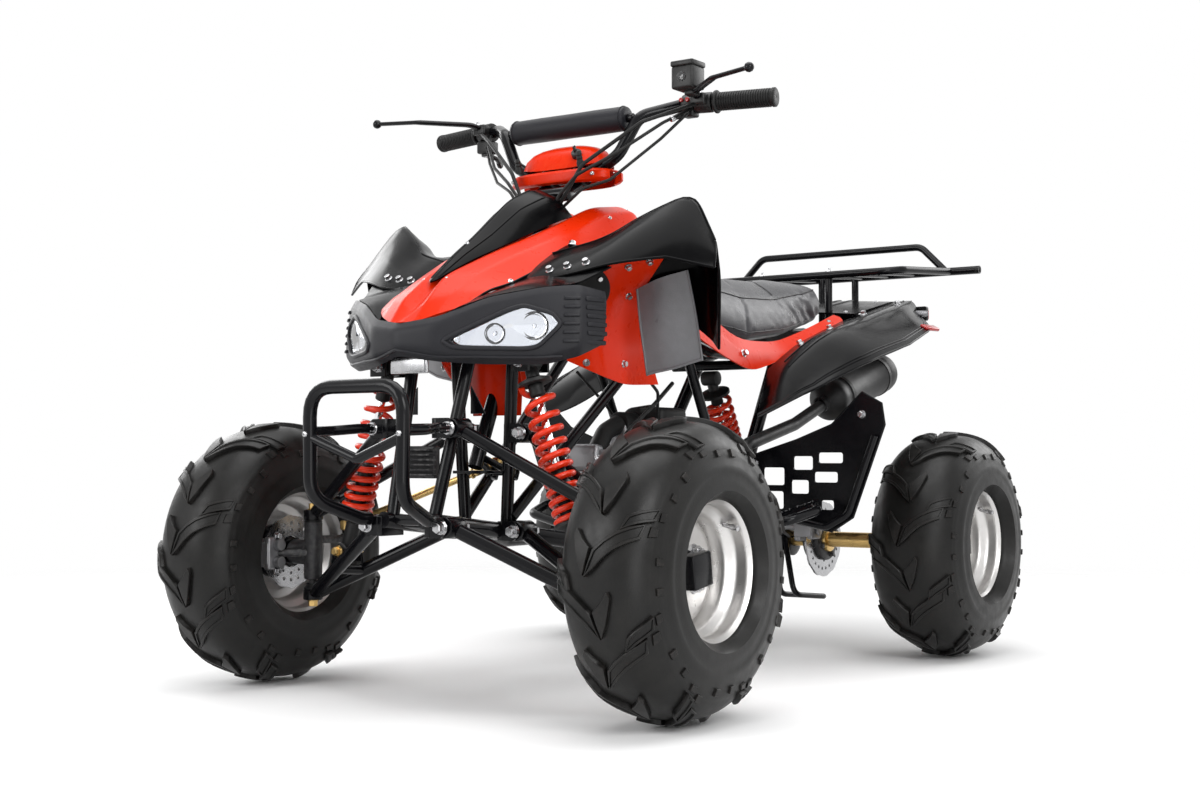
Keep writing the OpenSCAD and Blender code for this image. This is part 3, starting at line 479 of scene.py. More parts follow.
# ---- wheels ----
FRONT_AXLE = (427.5, 0, 232)
REAR_AXLE = (412.5, WHEELBASE, 226)
FRONT_TYRE = (464, 188)  # outer diameter, width
REAR_TYRE = (452, 200)
CHAIN_X = -112
CHAIN_PITCH = 12.7
SPROCKET_TEETH = 37
TOOTH_REACH = 81
TREAD_REPEATS = 8
WHEEL_NUTS = 4
NUT_CIRCLE = 38
RIM_D = 226
RIM_W = 148
LUG_H = 9.0
ROUNDNESS = 0.72
RIM_DISH = 62


def tyre_outline(outer, width, lower=0.0):
    """Half a tyre's outline as (radius, distance from the middle), from the crown to the bead."""
    bead = RIM_D / 2 - 8
    high = outer / 2 - bead
    run = []
    for i in range(33):
        a = math.radians(90 - 87 * i / 32)
        run.append((bead + (high - lower) * math.sin(a) ** ROUNDNESS,
                (width / 2 - lower * 0.5) * math.cos(a) ** ROUNDNESS))
    return run


class Crown:
    """Places things on a tyre: across its outline, round it, and out from it."""

    def __init__(self, outer, width, lower):
        self.line = tyre_outline(outer, width, lower)
        self.far = [0.0]
        for a, b in zip(self.line, self.line[1:]):
            self.far.append(self.far[-1] + math.dist(a, b))
        self.radius = self.line[0][0]

    def at(self, across, round_, out):
        side, s = (-1, -across) if across < 0 else (1, across)
        s = min(s, self.far[-1] - 0.01)
        k = max(i for i, f in enumerate(self.far[:-1]) if f <= s)
        (r0, x0), (r1, x1) = self.line[k], self.line[k + 1]
        t = (s - self.far[k]) / (self.far[k + 1] - self.far[k])
        along = Vector((r1 - r0, x1 - x0)).normalized()
        r, x = r0 + (r1 - r0) * t + along.y * out, x0 + (x1 - x0) * t - along.x * out
        angle = round_ / self.radius
        return Vector((side * x, -math.cos(angle) * r, math.sin(angle) * r))


def lug(outline, high, recess, place):
    """A tread block: a flat outline, raised with a chamfer and an outlined recess, and laid on the tyre."""
    bm = bmesh.new()
    verts = [bm.verts.new((x, y, -3)) for x, y in outline]
    base = bm.faces.new(verts)
    base.normal_update()
    if base.normal.z < 0:
        base.normal_flip()
    raised = bmesh.ops.extrude_face_region(bm, geom=[base])["geom"]
    bmesh.ops.delete(bm, geom=[f for f in bm.faces if f == base], context="FACES_ONLY")
    bmesh.ops.translate(bm, vec=(0, 0, high + 2.0),
        verts=[g for g in raised if isinstance(g, bmesh.types.BMVert)])
    top = [g for g in raised if isinstance(g, bmesh.types.BMFace)]
    bmesh.ops.inset_region(bm, faces=top, thickness=1.0, depth=1.0)
    if recess:
        bmesh.ops.inset_region(bm, faces=top, thickness=3.2, depth=0)
        bmesh.ops.inset_region(bm, faces=top, thickness=1.0, depth=-recess)
    bmesh.ops.triangulate(bm, faces=[f for f in bm.faces if len(f.verts) > 4])
    long = [e for e in bm.edges if e.calc_length() > 14]
    bmesh.ops.subdivide_edges(bm, edges=long, cuts=1)
    bmesh.ops.triangulate(bm, faces=[f for f in bm.faces if len(f.verts) > 4])
    bmesh.ops.recalc_face_normals(bm, faces=bm.faces)
    for v in bm.verts:
        v.co = place(v.co.x, v.co.y, v.co.z)
    return bm


CHEVRON_LONG = [(-9, 2), (4, 12), (18, 27), (34, 41), (52, 52), (68, 60), (72, 84), (52, 76), (34, 66),
    (18, 54), (3, 40)]
CHEVRON_SHORT = [(-11, 4), (-2, 42), (-15, 54), (-27, 70), (-31, 62), (-27, 44), (-20, 22)]
SHOULDER = [(-84, 6), (-58, -8), (-40, -18), (-46, 4), (-60, 14), (-86, 28)]
EDGE_BLOCKS = [[(78, 66), (92, 70), (92, 86), (80, 84)], [(-100, 12), (-90, 9), (-90, 25), (-100, 28)],
    [(96, 22), (108, 22), (108, 36), (96, 36)], [(-108, 58), (-97, 58), (-97, 71), (-108, 71)]]


def tyre(centre, outer, width, side):
    """A tyre: a smooth carcass with beads and fine rings, and chevron lugs over its crown."""
    crown = Crown(outer, width, LUG_H)
    half = crown.line
    ribs = {20: 0.8, 24: -0.6, 27: 1.0, 29: -0.8}
    skin = [(r, x + ribs.get(i, 0)) for i, (r, x) in enumerate(half)]
    bead = [(RIM_D / 2 - 4, RIM_W / 2 + 3), (RIM_D / 2 - 7, RIM_W / 2 - 2), (RIM_D / 2 - 8, RIM_W / 2 - 12),
        (RIM_D / 2 - 8, RIM_W / 2 - 26)]
    skin = [p for p in skin if p[0] > RIM_D / 2 + 2] + bead
    loop = [(r, -x) for r, x in reversed(skin)] + skin[1:]
    x, y, z = centre
    carcass = ring((side * x, y, z), (1, 0, 0), loop, 112)
    pitch = math.tau * crown.radius / (2 * TREAD_REPEATS)
    parts = []
    for hand in (1, -1):
        start = 0 if hand > 0 else pitch

        def place(a, b, out, hand=hand, start=start):
            return crown.at(hand * a, b + start, out)
        for outline, recess in ((CHEVRON_LONG, 2.4), (CHEVRON_SHORT, 0), (SHOULDER, 2.2)):
            parts.append(lug(outline, LUG_H - 1.2, recess, place))
        for outline in EDGE_BLOCKS:
            parts.append(lug(outline, 3.2, 0, place))
    blocks = join(*parts)
    turned = []
    for k in range(TREAD_REPEATS):
        one = blocks.copy()
        bmesh.ops.rotate(one, cent=(0, 0, 0), matrix=Matrix.Rotation(math.tau * k / TREAD_REPEATS, 3, "X"),
            verts=one.verts)
        turned.append(one)
    blocks.free()
    tread = join(*turned)
    bmesh.ops.scale(tread, vec=(MM, MM, MM), verts=tread.verts)
    bmesh.ops.recalc_face_normals(tread, faces=tread.faces)
    bmesh.ops.translate(tread, vec=spot(side * x, y, z), verts=tread.verts)
    return join(carcass, tread)


def rim(centre, side):
    """A stepped steel rim: rolled lips, the well, and the dished disc."""
    r, h, s = RIM_D / 2, RIM_W / 2, RIM_D / 2 - 8.4
    face = h - RIM_DISH
    outline = [(24.6, face - 6), (52, face - 6), (60, face - 8), (70, face - 15), (s - 19, face - 18),
        (s - 19, 46 - h),
        (s - 16, 40 - h), (s - 5, 34 - h), (s - 5, 13 - h), (r - 5, 4 - h), (r - 4, -h),
        (r - 1, -h - 0.5), (r, 2 - h),
        (r - 1, 5 - h), (s, 10 - h), (s, 30 - h), (s - 14, 44 - h), (s - 14, h - 44), (s, h - 30),
        (s, h - 10), (r - 1, h - 5),
        (r, h - 2), (r - 1, h + 0.5), (r - 4, h), (r - 5.5, h - 3), (s - 4, h - 11), (s - 5, h - 15),
        (s - 5, h - 29), (s - 8, h - 34),
        (s - 17, h - 42), (s - 19, h - 47), (s - 19, face - 8), (s - 22, face - 3), (72, face + 1),
        (56, face), (24.6, face)]
    soft = [outline[0]]
    for a, b, c in zip(outline, outline[1:], outline[2:]):
        cut = min(2.2, 0.42 * math.dist(a, b), 0.42 * math.dist(b, c))
        p = [b[i] + (a[i] - b[i]) * cut / max(math.dist(a, b), 0.01) for i in (0, 1)]
        q = [b[i] + (c[i] - b[i]) * cut / max(math.dist(b, c), 0.01) for i in (0, 1)]
        soft += [tuple(p), tuple((p[i] + 2 * b[i] + q[i]) / 4 for i in (0, 1)), tuple(q)]
    soft += [outline[-1], outline[0]]
    x, y, z = centre
    return ring((side * x, y, z), (side, 0, 0), soft, 96)


def wheel_trim(centre, side):
    """Wheel nuts with their studs, and the tyre's valve."""
    x, y, z = centre
    face = x + RIM_W / 2 - RIM_DISH
    nuts = []
    for k in range(WHEEL_NUTS):
        a = math.radians(45 + 90 * k)
        at = (side * (face + 0.3), y + NUT_CIRCLE * math.cos(a), z + NUT_CIRCLE * math.sin(a))
        nuts.append(bolt(at, (side, 0, 0), 17))
        nuts.append(drum((at[0], at[1], at[2]), (at[0] + side * 17, at[1], at[2]), 9, 0.6, 16))
    stem = (side * (x + RIM_W / 2 - 34), y + 66, z + 66)
    nuts.append(drum(stem, (stem[0] + side * 22, y + 62, z + 62), 7, 0.8, 16))
    nuts.append(drum((stem[0] + side * 16, y + 63, z + 63), (stem[0] + side * 30, y + 60.6, z + 60.6), 9,
            1.2, 16))
    return join(*nuts)


def square_cap(centre, side, reach):
    """The black cap over a hub's middle: a square block with rounded edges on a round collar."""
    x, y, z = centre
    face = x + RIM_W / 2 - RIM_DISH
    return join(block((side * (face + reach / 2), y, z), (reach, 52, 52), 3,
            Matrix.Rotation(math.radians(8), 4, "X")),
        drum((side * (face - 5), y, z), (side * (face + 6), y, z), 60, 1.5))


def disc(centre, outer, bore, thick, holes):
    """A thin plate ring, drilled through in rows and scalloped round its edge."""
    x, y, z = centre
    bm = bmesh.new()
    outer_ring = []
    steps = 96
    for k in range(steps):
        a = math.tau * k / steps
        r = outer / 2 - (1.5 if (k // 4) % 2 else 0)
        outer_ring.append(bm.verts.new((0, r * math.cos(a) * MM, r * math.sin(a) * MM)))
    rim_edges = [bm.edges.new((outer_ring[k], outer_ring[(k + 1) % steps])) for k in range(steps)]
    inner = bmesh.ops.create_circle(bm, cap_ends=False, radius=bore / 2 * MM, segments=steps,
        matrix=Matrix.Rotation(math.pi / 2, 4, "Y"))["verts"]
    loops = rim_edges + list({e for v in inner for e in v.link_edges})
    for row, count, size in holes:
        for k in range(count):
            a = math.tau * (k + 0.5 * (row > bore / 2 + 20)) / count
            where = Matrix.Translation((0, row * math.cos(a) * MM,
                    row * math.sin(a) * MM)) @ Matrix.Rotation(math.pi / 2, 4, "Y")
            hole = bmesh.ops.create_circle(bm, cap_ends=False, radius=size / 2 * MM, segments=10,
                matrix=where)["verts"]
            loops += list({e for v in hole for e in v.link_edges})
    bmesh.ops.triangle_fill(bm, use_beauty=True, use_dissolve=False, edges=loops)
    bmesh.ops.recalc_face_normals(bm, faces=bm.faces)
    bmesh.ops.solidify(bm, geom=bm.faces[:], thickness=thick * MM)
    bmesh.ops.recalc_face_normals(bm, faces=bm.faces)
    bmesh.ops.translate(bm, vec=spot(x, y, z) - Vector((thick / 2 * MM, 0, 0)), verts=bm.verts)
    return bm


def make_wheels():
    for side, name in ((1, "left"), (-1, "right")):
        body = "front_wheel_" + name
        piece("front_tyre_" + name + "_look", tyre(FRONT_AXLE, *FRONT_TYRE, side), body, "tyre rubber",
            "front_tyre_" + name, smooth=42)
        piece("front_rim_" + name + "_look", rim(FRONT_AXLE, side), body, "silver rim", "front_rim_" + name,
            smooth=50)
        x, y, z = FRONT_AXLE
        face = x + RIM_W / 2 - RIM_DISH
        hub = join(drum((side * (x - RIM_W / 2 + 31), y, z), (side * (face - 6.5), y, z), 52, 1.5),
            drum((side * (face - 14), y, z), (side * (face - 6.5), y, z), 96, 1.5, 48),
            square_cap(FRONT_AXLE, side, 34))
        piece("front_hub_" + name, hub, body, "black paint")
        piece("front_disc_" + name, disc((side * (x - RIM_W / 2 + 32), y, z), 130, 56, 3.6,
                ((38, 12, 6), (50, 18, 7))), body, "bright zinc")
        piece("front_nuts_" + name, wheel_trim(FRONT_AXLE, side), body, "bright zinc")
    piece("rear_tyres_look", join(*(tyre(REAR_AXLE, *REAR_TYRE, side) for side in (1, -1))), "rear_wheels",
        "tyre rubber", "rear_tyres", smooth=42)
    piece("rear_rims_look", join(*(rim(REAR_AXLE, side) for side in (1, -1))), "rear_wheels", "silver rim",
        "rear_rims", smooth=50)
    piece("rear_hub_caps", join(*(square_cap(REAR_AXLE, side, 26) for side in (1, -1))), "rear_wheels",
        "black paint")
    piece("rear_nuts", join(*(wheel_trim(REAR_AXLE, side) for side in (1, -1))), "rear_wheels",
        "bright zinc")
    x, y, z = REAR_AXLE
    face = x + RIM_W / 2 - RIM_DISH
    axle = [drum((-face + 10, y, z), (face - 10, y, z), 32, 1, 40)]
    for side in (1, -1):
        axle += [drum((side * (face - 15), y, z), (side * (face - 6.5), y, z), 96, 1.5, 48),
            drum((side * (face - 62), y, z), (side * (face - 14), y, z), 46, 2)]
    axle += [drum((104, y, z), (148, y, z), 52, 2), drum((-126, y, z), (-82, y, z), 52, 2)]
    piece("rear_axle_look", join(*axle), "rear_wheels", "yellow zinc", "rear_axle")
    piece("rear_disc", disc((134, y, z), 158, 60, 4, ((44, 12, 8), (62, 24, 7))), "rear_wheels",
        "bright zinc")
    parts = [disc((CHAIN_X, y, z), 160, 56, 6, ((50, 6, 26),))]
    for k in range(SPROCKET_TEETH):
        a = math.tau * k / SPROCKET_TEETH
        turn = Matrix.Rotation(a, 4, "X")
        tooth = block((0, MIDDLE_Y, 0), (5, 7, 6.5), 1.6, segments=1)
        bmesh.ops.transform(tooth, matrix=Matrix.Translation(spot(CHAIN_X, y, z)) @ turn
            @ Matrix.Translation((0, 0, TOOTH_REACH * MM)), verts=tooth.verts)
        parts.append(tooth)
    piece("sprocket", join(*parts), "rear_wheels", "dark cast")
    studs = [bolt((141, y + 34 * math.cos(math.tau * k / 4 + 0.4),
                z + 34 * math.sin(math.tau * k / 4 + 0.4)), (1, 0, 0), 11) for k in range(4)]
    studs.append(drum((104, y, z), (141, y, z), 88, 2, 40))
    piece("rear_disc_hub", join(*studs), "rear_wheels", "dark cast")


make_wheels()


# ---- frame and bars ----
TUBE = 27
STEM_FOOT = Vector((0, 50, 400))
STEM_AXIS = Vector((0, 242, 560)).normalized()
BALL_LOW, BALL_HIGH, KINGPIN = 158, 298, 333
ARMS = (((78, -110, 290), (78, 72, 278), (KINGPIN, 0, BALL_LOW), 24, 0.62),
    ((80, -96, 446), (80, 86, 440), (KINGPIN, 0, BALL_HIGH), 21, 0.8))
PIVOTS = [p for arm in ARMS for p in arm[:2]]
BOTH = (1, -1)


def on_stem(z):
    return STEM_FOOT + STEM_AXIS * ((z - STEM_FOOT.z) / STEM_AXIS.z)


def mix(a, b, t):
    return tuple(Vector(a).lerp(Vector(b), t))


def sided(side, point):
    return (side * point[0], point[1], point[2])


PLATE_EDGE = 0.6


def plate(outline, thick, to_place):
    """A flat plate of that outline, its place given by a function of (across, up, depth)."""
    bm = bmesh.new()
    face = bm.faces.new([bm.verts.new((x, y, 0)) for x, y in outline])
    raised = bmesh.ops.extrude_face_region(bm, geom=[face])["geom"]
    bmesh.ops.translate(bm, vec=(0, 0, thick),
        verts=[g for g in raised if isinstance(g, bmesh.types.BMVert)])
    bmesh.ops.bevel(bm, geom=bm.edges[:], offset=PLATE_EDGE, affect="EDGES", segments=1, profile=0.5,
        material=-1)
    for v in bm.verts:
        v.co = spot(*to_place(*v.co))
    bmesh.ops.recalc_face_normals(bm, faces=bm.faces)
    return bm


def pivot_bracket(p, side):
    """The channel that holds a wishbone's eye: a back and two rounded ears."""
    x, y, z = p
    parts = [block((side * (x - 28), y, z), (10, 53, 32), 1.2)]
    ear = [(-14, -16), (8, -16), (14, -12), (17, 0), (14, 12), (8, 16), (-14, 16)]
    for s in BOTH:
        parts.append(plate([(-side * a, b) for a, b in ear], 5,
                lambda a, b, d, s=s: (side * (x - 9) - a, y + s * 24 - 2.5 + d, z + b)))
    return parts


def make_frame():
    parts = []
    for side in BOTH:
        def s(points, side=side):
            return [sided(side, p) for p in points]
        parts.append(tubes(
            (s([(44, -134, 300), (44, 112, 272), (90, 230, 252), (104, 420, 252), (104, 690, 252),
                (104, 790, 430), (92, 905, 600)]), TUBE, 60),
            (s([(80, 300, 720), (92, 470, 640), (92, 640, 604), (92, 900, 602), (86, 1130, 668),
                (84, 1353.7, 690)]), TUBE - 3, 80),
            (s([(44, -112, 300), (62, -36, 592)]), 21, 0), (s([(44, 72, 278), (62, 66, 592)]), 21, 0),
            (s([(62, -40, 590), (80, 300, 720)]), 21, 0), (s([(50, 76, 300), (92, 470, 640)]), 21, 0),
            (s([(104, 520, 632), (104, 700, 300)]), 19, 0),
            (s([(58, 30, 586), (162, 20, 578)]), 18, 0), (s([(58, -30, 586), (162, -28, 578)]), 18, 0),
            (s([(150, -33, 552), (150, 25, 552)]), 9.8, 0), (s([(62, -40, 588), (62, -130, 590)]), 12, 0),
            (s([(62, 66, 592), (76, 196, 690)]), 16, 0), (s([(76, 196, 690), (80, 300, 720)]), 16, 0),
            (s([(76, 196, 690), (18, on_stem(684).y, 684)]), 16, 0),
            (s([(26, 58, 373), (44, 74, 373)]), 8, 0)))
        for p in PIVOTS:
            parts += pivot_bracket(p, side)
        for k in BOTH:
            parts.append(block((side * 152, -4 + k * 26, 560), (34, 5, 48), 1))
        parts.append(block((side * 88, 770, 613), (20, 24, 24), 3))
    cross = [((44, -112, 300), 18), ((56, -66, 446), 18), ((44, 72, 278), 18), ((62, 66, 590), 18),
        ((62, -38, 590), 18),
        ((104, 715, 322), 20), ((90, 800, 585.6), 20), ((92, 770, 605.7), 16), ((84, 1353.7, 690), 20)]
    parts.append(tubes(*(([sided(-1, p), p], d, 0) for p, d in cross)))
    low, high = on_stem(670), on_stem(698)
    parts.append(tubes(([tuple(low), tuple(high)], 46, 0), sides=7))
    parts.append(block((0, 46, 375), (60, 52, 5), 1))
    piece("frame_tubes", join(*parts), "chassis", "black paint", "frame")
    # Gusset plates on the front uprights and beside the seat rails
    extra = []
    for side in BOTH:
        extra.append(plate([(0, 0), (34, 0), (0, 46)], 3, lambda a, b, d,
                side=side: (side * (57 + a * 0.9), -39 + d, 470 + b)))
        extra.append(plate([(0, 0), (60, -18), (54, 26), (4, 34)], 3, lambda a, b, d,
                side=side: (side * (100 + d), 470 + a, 588 + b)))
    piece("frame_gussets", join(*extra), "chassis", "black paint")
    heads = []
    for side in BOTH:
        for x, y, z in PIVOTS:
            heads.append(bolt((side * x, y - 26.5, z), (0, -1, 0), 17))
            heads.append(bolt((side * x, y + 26.5, z), (0, 1, 0), 16))
        heads.append(bolt((side * 150, -33, 552), (0, -1, 0), 15))
        heads.append(bolt((side * 150, 25, 552), (0, 1, 0), 15))
        heads.append(bolt((side * 100, 560, 252), (0, 0, -1), 13))
        heads.append(bolt((side * 117, 715, 322), (side, 0, 0), 20))
    piece("frame_bolts", join(*heads), "chassis", "bright zinc", smooth=30)


def make_bumper():
    x, y, top = 98, -245, 509
    parts = [tubes(([(70, -139.4, 302), (70, -156, 302), (x - 2, y, 336), (x, y, top), (-x, y, top),
                    (2 - x, y, 336), (-70, -156, 302), (-70, -139.4, 302)], 22, 46),
            ([(-x, y, 432), (0, y + 4, 397), (x, y, 432)], 16, 20),
            *(([(k * x, y, 440), (k * x, y + 50, 442), (k * 80, -150, 446), (k * 80, -125.4, 446)],
                    16, 30) for k in BOTH), sides=7)]
    piece("front_bumper_look", join(*parts), "chassis", "black paint", "front_bumper")
    caps = [button((k * x, y - 10.6, 436), (0, -1, 0), 10) for k in BOTH]
    piece("front_bumper_plugs", join(*caps), "chassis", "bright zinc")


def make_rack():
    back, z, mid = 1378, 814, 798
    runs = [([(-345, back, z), (345, back, z)], 18, 0),
        ([(-266, back, z), (-205, back, z + 60), (205, back, z + 60), (266, back, z)], 16, 34)]
    loop = [(275, back, z), (250, 1180, 802), (220, 1150, mid), (-220, 1150, mid), (-250, 1180, 802),
        (-275, back, z)]
    runs.append((loop, 16, 30))
    for k in BOTH:
        runs += [([(k * v, 1150, mid), (k * v, back, z)], 12, 0) for v in (60, 125, 190)]
        runs += [([(k * 43, 1372, 684), (k * 43, 1372, z)], 16, 0),
            ([(k * 84, 1160, 686.5), (k * 84, 1160, mid)], 16, 0)]
    piece("rear_rack_look", tubes(*runs, sides=6), "chassis", "black paint", "rear_rack")
    caps = [ring((k * 344.5, back, z), (k, 0, 0), [(0.01, 0.5), (6.5, 0.5), (8.4, 0), (9, -4), (9, -8)],
            24) for k in BOTH]
    piece("rear_rack_caps", join(*caps), "chassis", "soft rubber")
    studs = [bolt((k * 84, 1160, 807), (0, 0, 1), 12) for k in BOTH]
    piece("rear_rack_bolts", join(*studs), "chassis", "bright zinc")


def ball_joint(p, up):
    """A ball joint's boss with its boot and nut."""
    x, y, z = p
    return (drum((x, y, z - 9), (x, y, z + 9), 34, 2),
        ring((x, y, z + up * 9), (0, 0, up), [(15, 0), (16, 3), (13, 6), (11, 11)], 28),
        bolt((x, y, z - up * 9), (0, 0, -up), 17))


def make_arms():
    for (front, rear, ball, d, share), node in zip(ARMS, ("lower_arms", "upper_arms")):
        parts, boots, nuts = [], [], []
        for side in BOTH:
            f, r, b = sided(side, front), sided(side, rear), sided(side, ball)
            for p in (f, r):
                parts.append(drum((p[0], p[1] - 19, p[2]), (p[0], p[1] + 19, p[2]), d + 10, 1.5))
                aim = (Vector(b) - Vector(p)).normalized()
                parts.append(tubes(([tuple(Vector(p) + aim * (d / 2 + 2)), tuple(Vector(b) - aim * 14)], d,
                        0), sides=7))
            boss, boot, nut = ball_joint(b, -1 if node == "upper_arms" else 1)
            parts.append(boss)
            boots.append(boot)
            nuts.append(nut)
            if node == "upper_arms":
                parts.append(tubes(([mix(f, b, share), mix(r, b, share)], 14, 0)))
            else:
                p, q = mix(f, b, share), mix(r, b, share)
                parts.append(tubes(([(p[0], p[1] * 0.8, p[2]), (q[0], q[1] * 0.8, q[2])], 17, 0)))
                for k in BOTH:
                    mid = (p[2] + q[2]) / 2
                    ear = [(-17, mid), (-12, mid + 13), (14, mid + 13), (17, mid), (12, 236), (7, 228),
                        (-7, 228), (-12, 236)]
                    parts.append(plate(ear, 5, lambda a, h, t, k=k,
                            side=side: (side * (250 + a), k * 22 - 2.5 + t, h)))
                nuts.append(bolt((side * 250, -25, 238), (0, -1, 0), 14))
                nuts.append(bolt((side * 250, 25, 238), (0, 1, 0), 14))
        piece(node + "_look", join(*parts), "chassis", "black paint", node)
        piece(node + "_boots", join(*boots), "chassis", "soft rubber")
        piece(node + "_nuts", join(*nuts), "chassis", "yellow zinc")


def coil(top, foot, radius, wire, turns, share):
    """A coil spring between two points of the drawing, its turns wider apart at the top if share < 1."""
    a, b = Vector(top), Vector(foot)
    axis = (b - a).normalized()
    u = axis.orthogonal().normalized()
    v = axis.cross(u)
    steps = int(turns * 20)
    path = []
    for k in range(steps + 1):
        t = k / steps
        far = 0.02 + 0.96 * t ** share
        angle = math.tau * turns * t
        path.append(tuple(a + (b - a) * far + (u * math.cos(angle) + v * math.sin(angle)) * radius))
    return tubes((path, wire, 0), sides=4)


def make_shocks():
    sets = [("front", "front_shocks", [((k * 150, -4, 552), (k * 250, 0, 238)) for k in BOTH], 28,
            (0, 1, 0), 34),
        ("rear", "rear_shock", [((0, 800, 560), (0, 925, 322))], 31, (1, 0, 0), 34)]
    for label, node, ends, r, pin, eye in sets:
        springs, bodies, rods, seats = [], [], [], []
        for top, foot in ends:
            t, f, p = Vector(top), Vector(foot), Vector(pin)
            axis = (f - t).normalized()
            long = (f - t).length
            wire = 10.4

            def go(d, t=t, axis=axis):
                return tuple(t + axis * d)
            springs.append(coil(go(34), go(long - 62), r - wire / 2, wire, 11, 0.74))
            for e, at in ((30, t), (28, f)):
                bodies.append(drum(tuple(at - p * eye / 2), tuple(at + p * eye / 2), e, 2))
            bodies.append(drum(go(10), go(34), 22, 1.5))
            bodies.append(ring(go(32), tuple(axis), [(12, -6), (r - 6, -2), (r, 0), (r, 5), (r - 3, 6),
                    (12, 6)], 40))
            bodies.append(ring(go(long - 60), tuple(axis),
                    [(12, -5), (r - 3, -5), (r, -3), (r, 1), (r - 5, 4), (13, 8)], 40))
            bodies.append(drum(go(long * 0.52), go(long - 8), 26, 2))
            rods.append(drum(go(36), go(long * 0.56), 13, 0.5))
            seats.append(ring(go(38), tuple(axis), [(6.5, 0), (12, 1), (13, 8), (12, 12), (13, 15),
                    (12, 19), (6.5, 22)], 28))
        piece(label + "_springs", join(*springs), "chassis", "spring paint", node)
        piece(label + "_dampers", join(*bodies), "chassis", "hot black")
        piece(label + "_damper_rods", join(*rods), "chassis", "chrome")
        piece(label + "_bump_stops", join(*seats), "chassis", "soft rubber")


def make_knuckles():
    for side, name in ((1, "left"), (-1, "right")):
        body = "knuckle_" + name
        def s(p, side=side):
            return sided(side, p)
        disc_x = 385.5
        cast = [drum(s((KINGPIN, 0, BALL_LOW + 27)), s((KINGPIN, 0, BALL_HIGH - 12)), 32, 3),
            drum(s((KINGPIN, 0, BALL_LOW + 10)), s((KINGPIN, 0, BALL_LOW + 30)), 14, 1),
            drum(s((KINGPIN + 4, 0, 232)), s((disc_x - 6, 0, 232)), 44, 2.5),
            tubes(([s((KINGPIN, 4, 254)), s((325, 74, 254))], 14, 0)),
            drum(s((325, 74, 246)), s((325, 74, 262.6)), 20, 1.5),
            tubes(([s((KINGPIN, -6, 232)), s((disc_x - 14, -55, 232))], 14, 0))]
        calliper = [block(s((disc_x - 14.5, -57, 232)), (15, 40, 58), 5),
            block(s((disc_x + 10.5, -57, 232)), (12, 40, 50), 5),
            block(s((disc_x - 2, -74, 232)), (36, 8, 40), 3)]
        for k in BOTH:
            calliper.append(drum(s((disc_x - 34, -57, 232 + k * 15)), s((disc_x - 22, -57, 232 + k * 15)),
                    20, 2))
        piece("knuckle_" + name + "_look", join(*cast), body, "dark cast", "knuckle_" + name)
        piece("front_calliper_" + name, join(*calliper), body, "cast alloy")
        pins = [drum(s((disc_x - 8, 0, 232)), s((459, 0, 232)), 24, 1),
            bolt(s((disc_x - 22, -57, 262)), (-side, 0, 0), 11),
            bolt(s((disc_x - 22, -57, 202)), (-side, 0, 0), 11)]
        piece("front_spindle_" + name, join(*pins), body, "bright zinc")


def make_rear_arm():
    z_axle = 226
    parts = [drum((-80, 715, 322), (80, 715, 322), 34, 1.5, 40)]
    for k in BOTH:
        parts.append(tubes(([(k * 66, 729, 318), (k * 56, 1020, 240)], 30, 0), sides=8))
    parts.append(tubes(([(-60, 877.5, 280), (60, 877.5, 280)], 24, 0), sides=8))
    parts.append(ring((0, WHEELBASE, z_axle), (1, 0, 0),
            [(17, -62), (30, -62), (37, -59), (37, -46), (33, -42), (33, 42), (37, 46), (37, 59),
                (30, 62), (17, 62)], 48))
    for k in BOTH:
        parts.append(block((k * 20.3, 905, 300), (6, 80, 46), 1.5))
        parts.append(tubes(([(k * 50, 1008, 212), (k * 62, 970, 112), (k * 70, 1096, 100),
                        (k * 108, 1096, 100), (k * 98, 970, 112), (k * 56, 1008, 228)], 12, 22)))
    piece("swingarm_look", join(*parts), "chassis", "black paint", "swingarm")
    bolts = [bolt((k * 45, WHEELBASE - 38, z_axle + 10), (0, -1, 0.2), 14) for k in BOTH]
    bolts += [bolt((k * 24, 925, 322), (k, 0, 0), 14) for k in BOTH]
    piece("swingarm_bolts", join(*bolts), "chassis", "bright zinc")
    y = WHEELBASE - 77
    calliper = [drum((73.2, y, 255), (120, y, 256), 16, 1.5), block((121, y, 256), (16, 44, 62), 5),
        block((149, y, 256), (14, 42, 54), 5),
        block((134, y - 20, 256), (40, 8, 44), 3), drum((158, y, 266), (164, y, 266), 18, 1.5),
        drum((158, y, 246), (164, y, 246), 18, 1.5)]
    piece("rear_calliper_look", join(*calliper), "chassis", "cast alloy", "rear_caliper")
    # Chain with its upper and lower runs, from the gearbox to the sprocket
    links = []
    lead, trail, r0, r1 = Vector((CHAIN_X, 700, 322)), Vector((CHAIN_X, WHEELBASE, z_axle)), 30, 82
    path = []
    line = trail - lead
    base = math.atan2(line.z, line.y)
    spread = math.acos((r0 - r1) / line.length)
    for centre, r, a0, a1 in ((trail, r1, base + math.pi - spread, base - math.pi + spread),
            (lead, r0, base - math.pi + spread, base - math.tau + math.pi - spread)):
        count = max(8, int(abs(a1 - a0) * r / 14))
        for k in range(count + 1):
            a = a0 + (a1 - a0) * k / count
            path.append(Vector((CHAIN_X, centre.y + r * math.cos(a), centre.z + r * math.sin(a))))
    path.append(path[0])
    carry, count = 0.0, 0
    for a, b in zip(path, path[1:]):
        step = (b - a).length
        while carry <= step and step > 0:
            p = a.lerp(b, carry / step)
            turn = Matrix.Rotation(math.atan2((b - a).z, (b - a).y), 4, "X")
            wide = 13 if count % 2 else 9
            for k in BOTH:
                links.append(block((p.x + k * wide / 2, p.y, p.z), (1.6, 15.5, 9.5), 0.7, turn, 1))
            count += 1
            carry += CHAIN_PITCH
        carry -= step
    piece("chain", join(*links), "chassis", "dark cast")


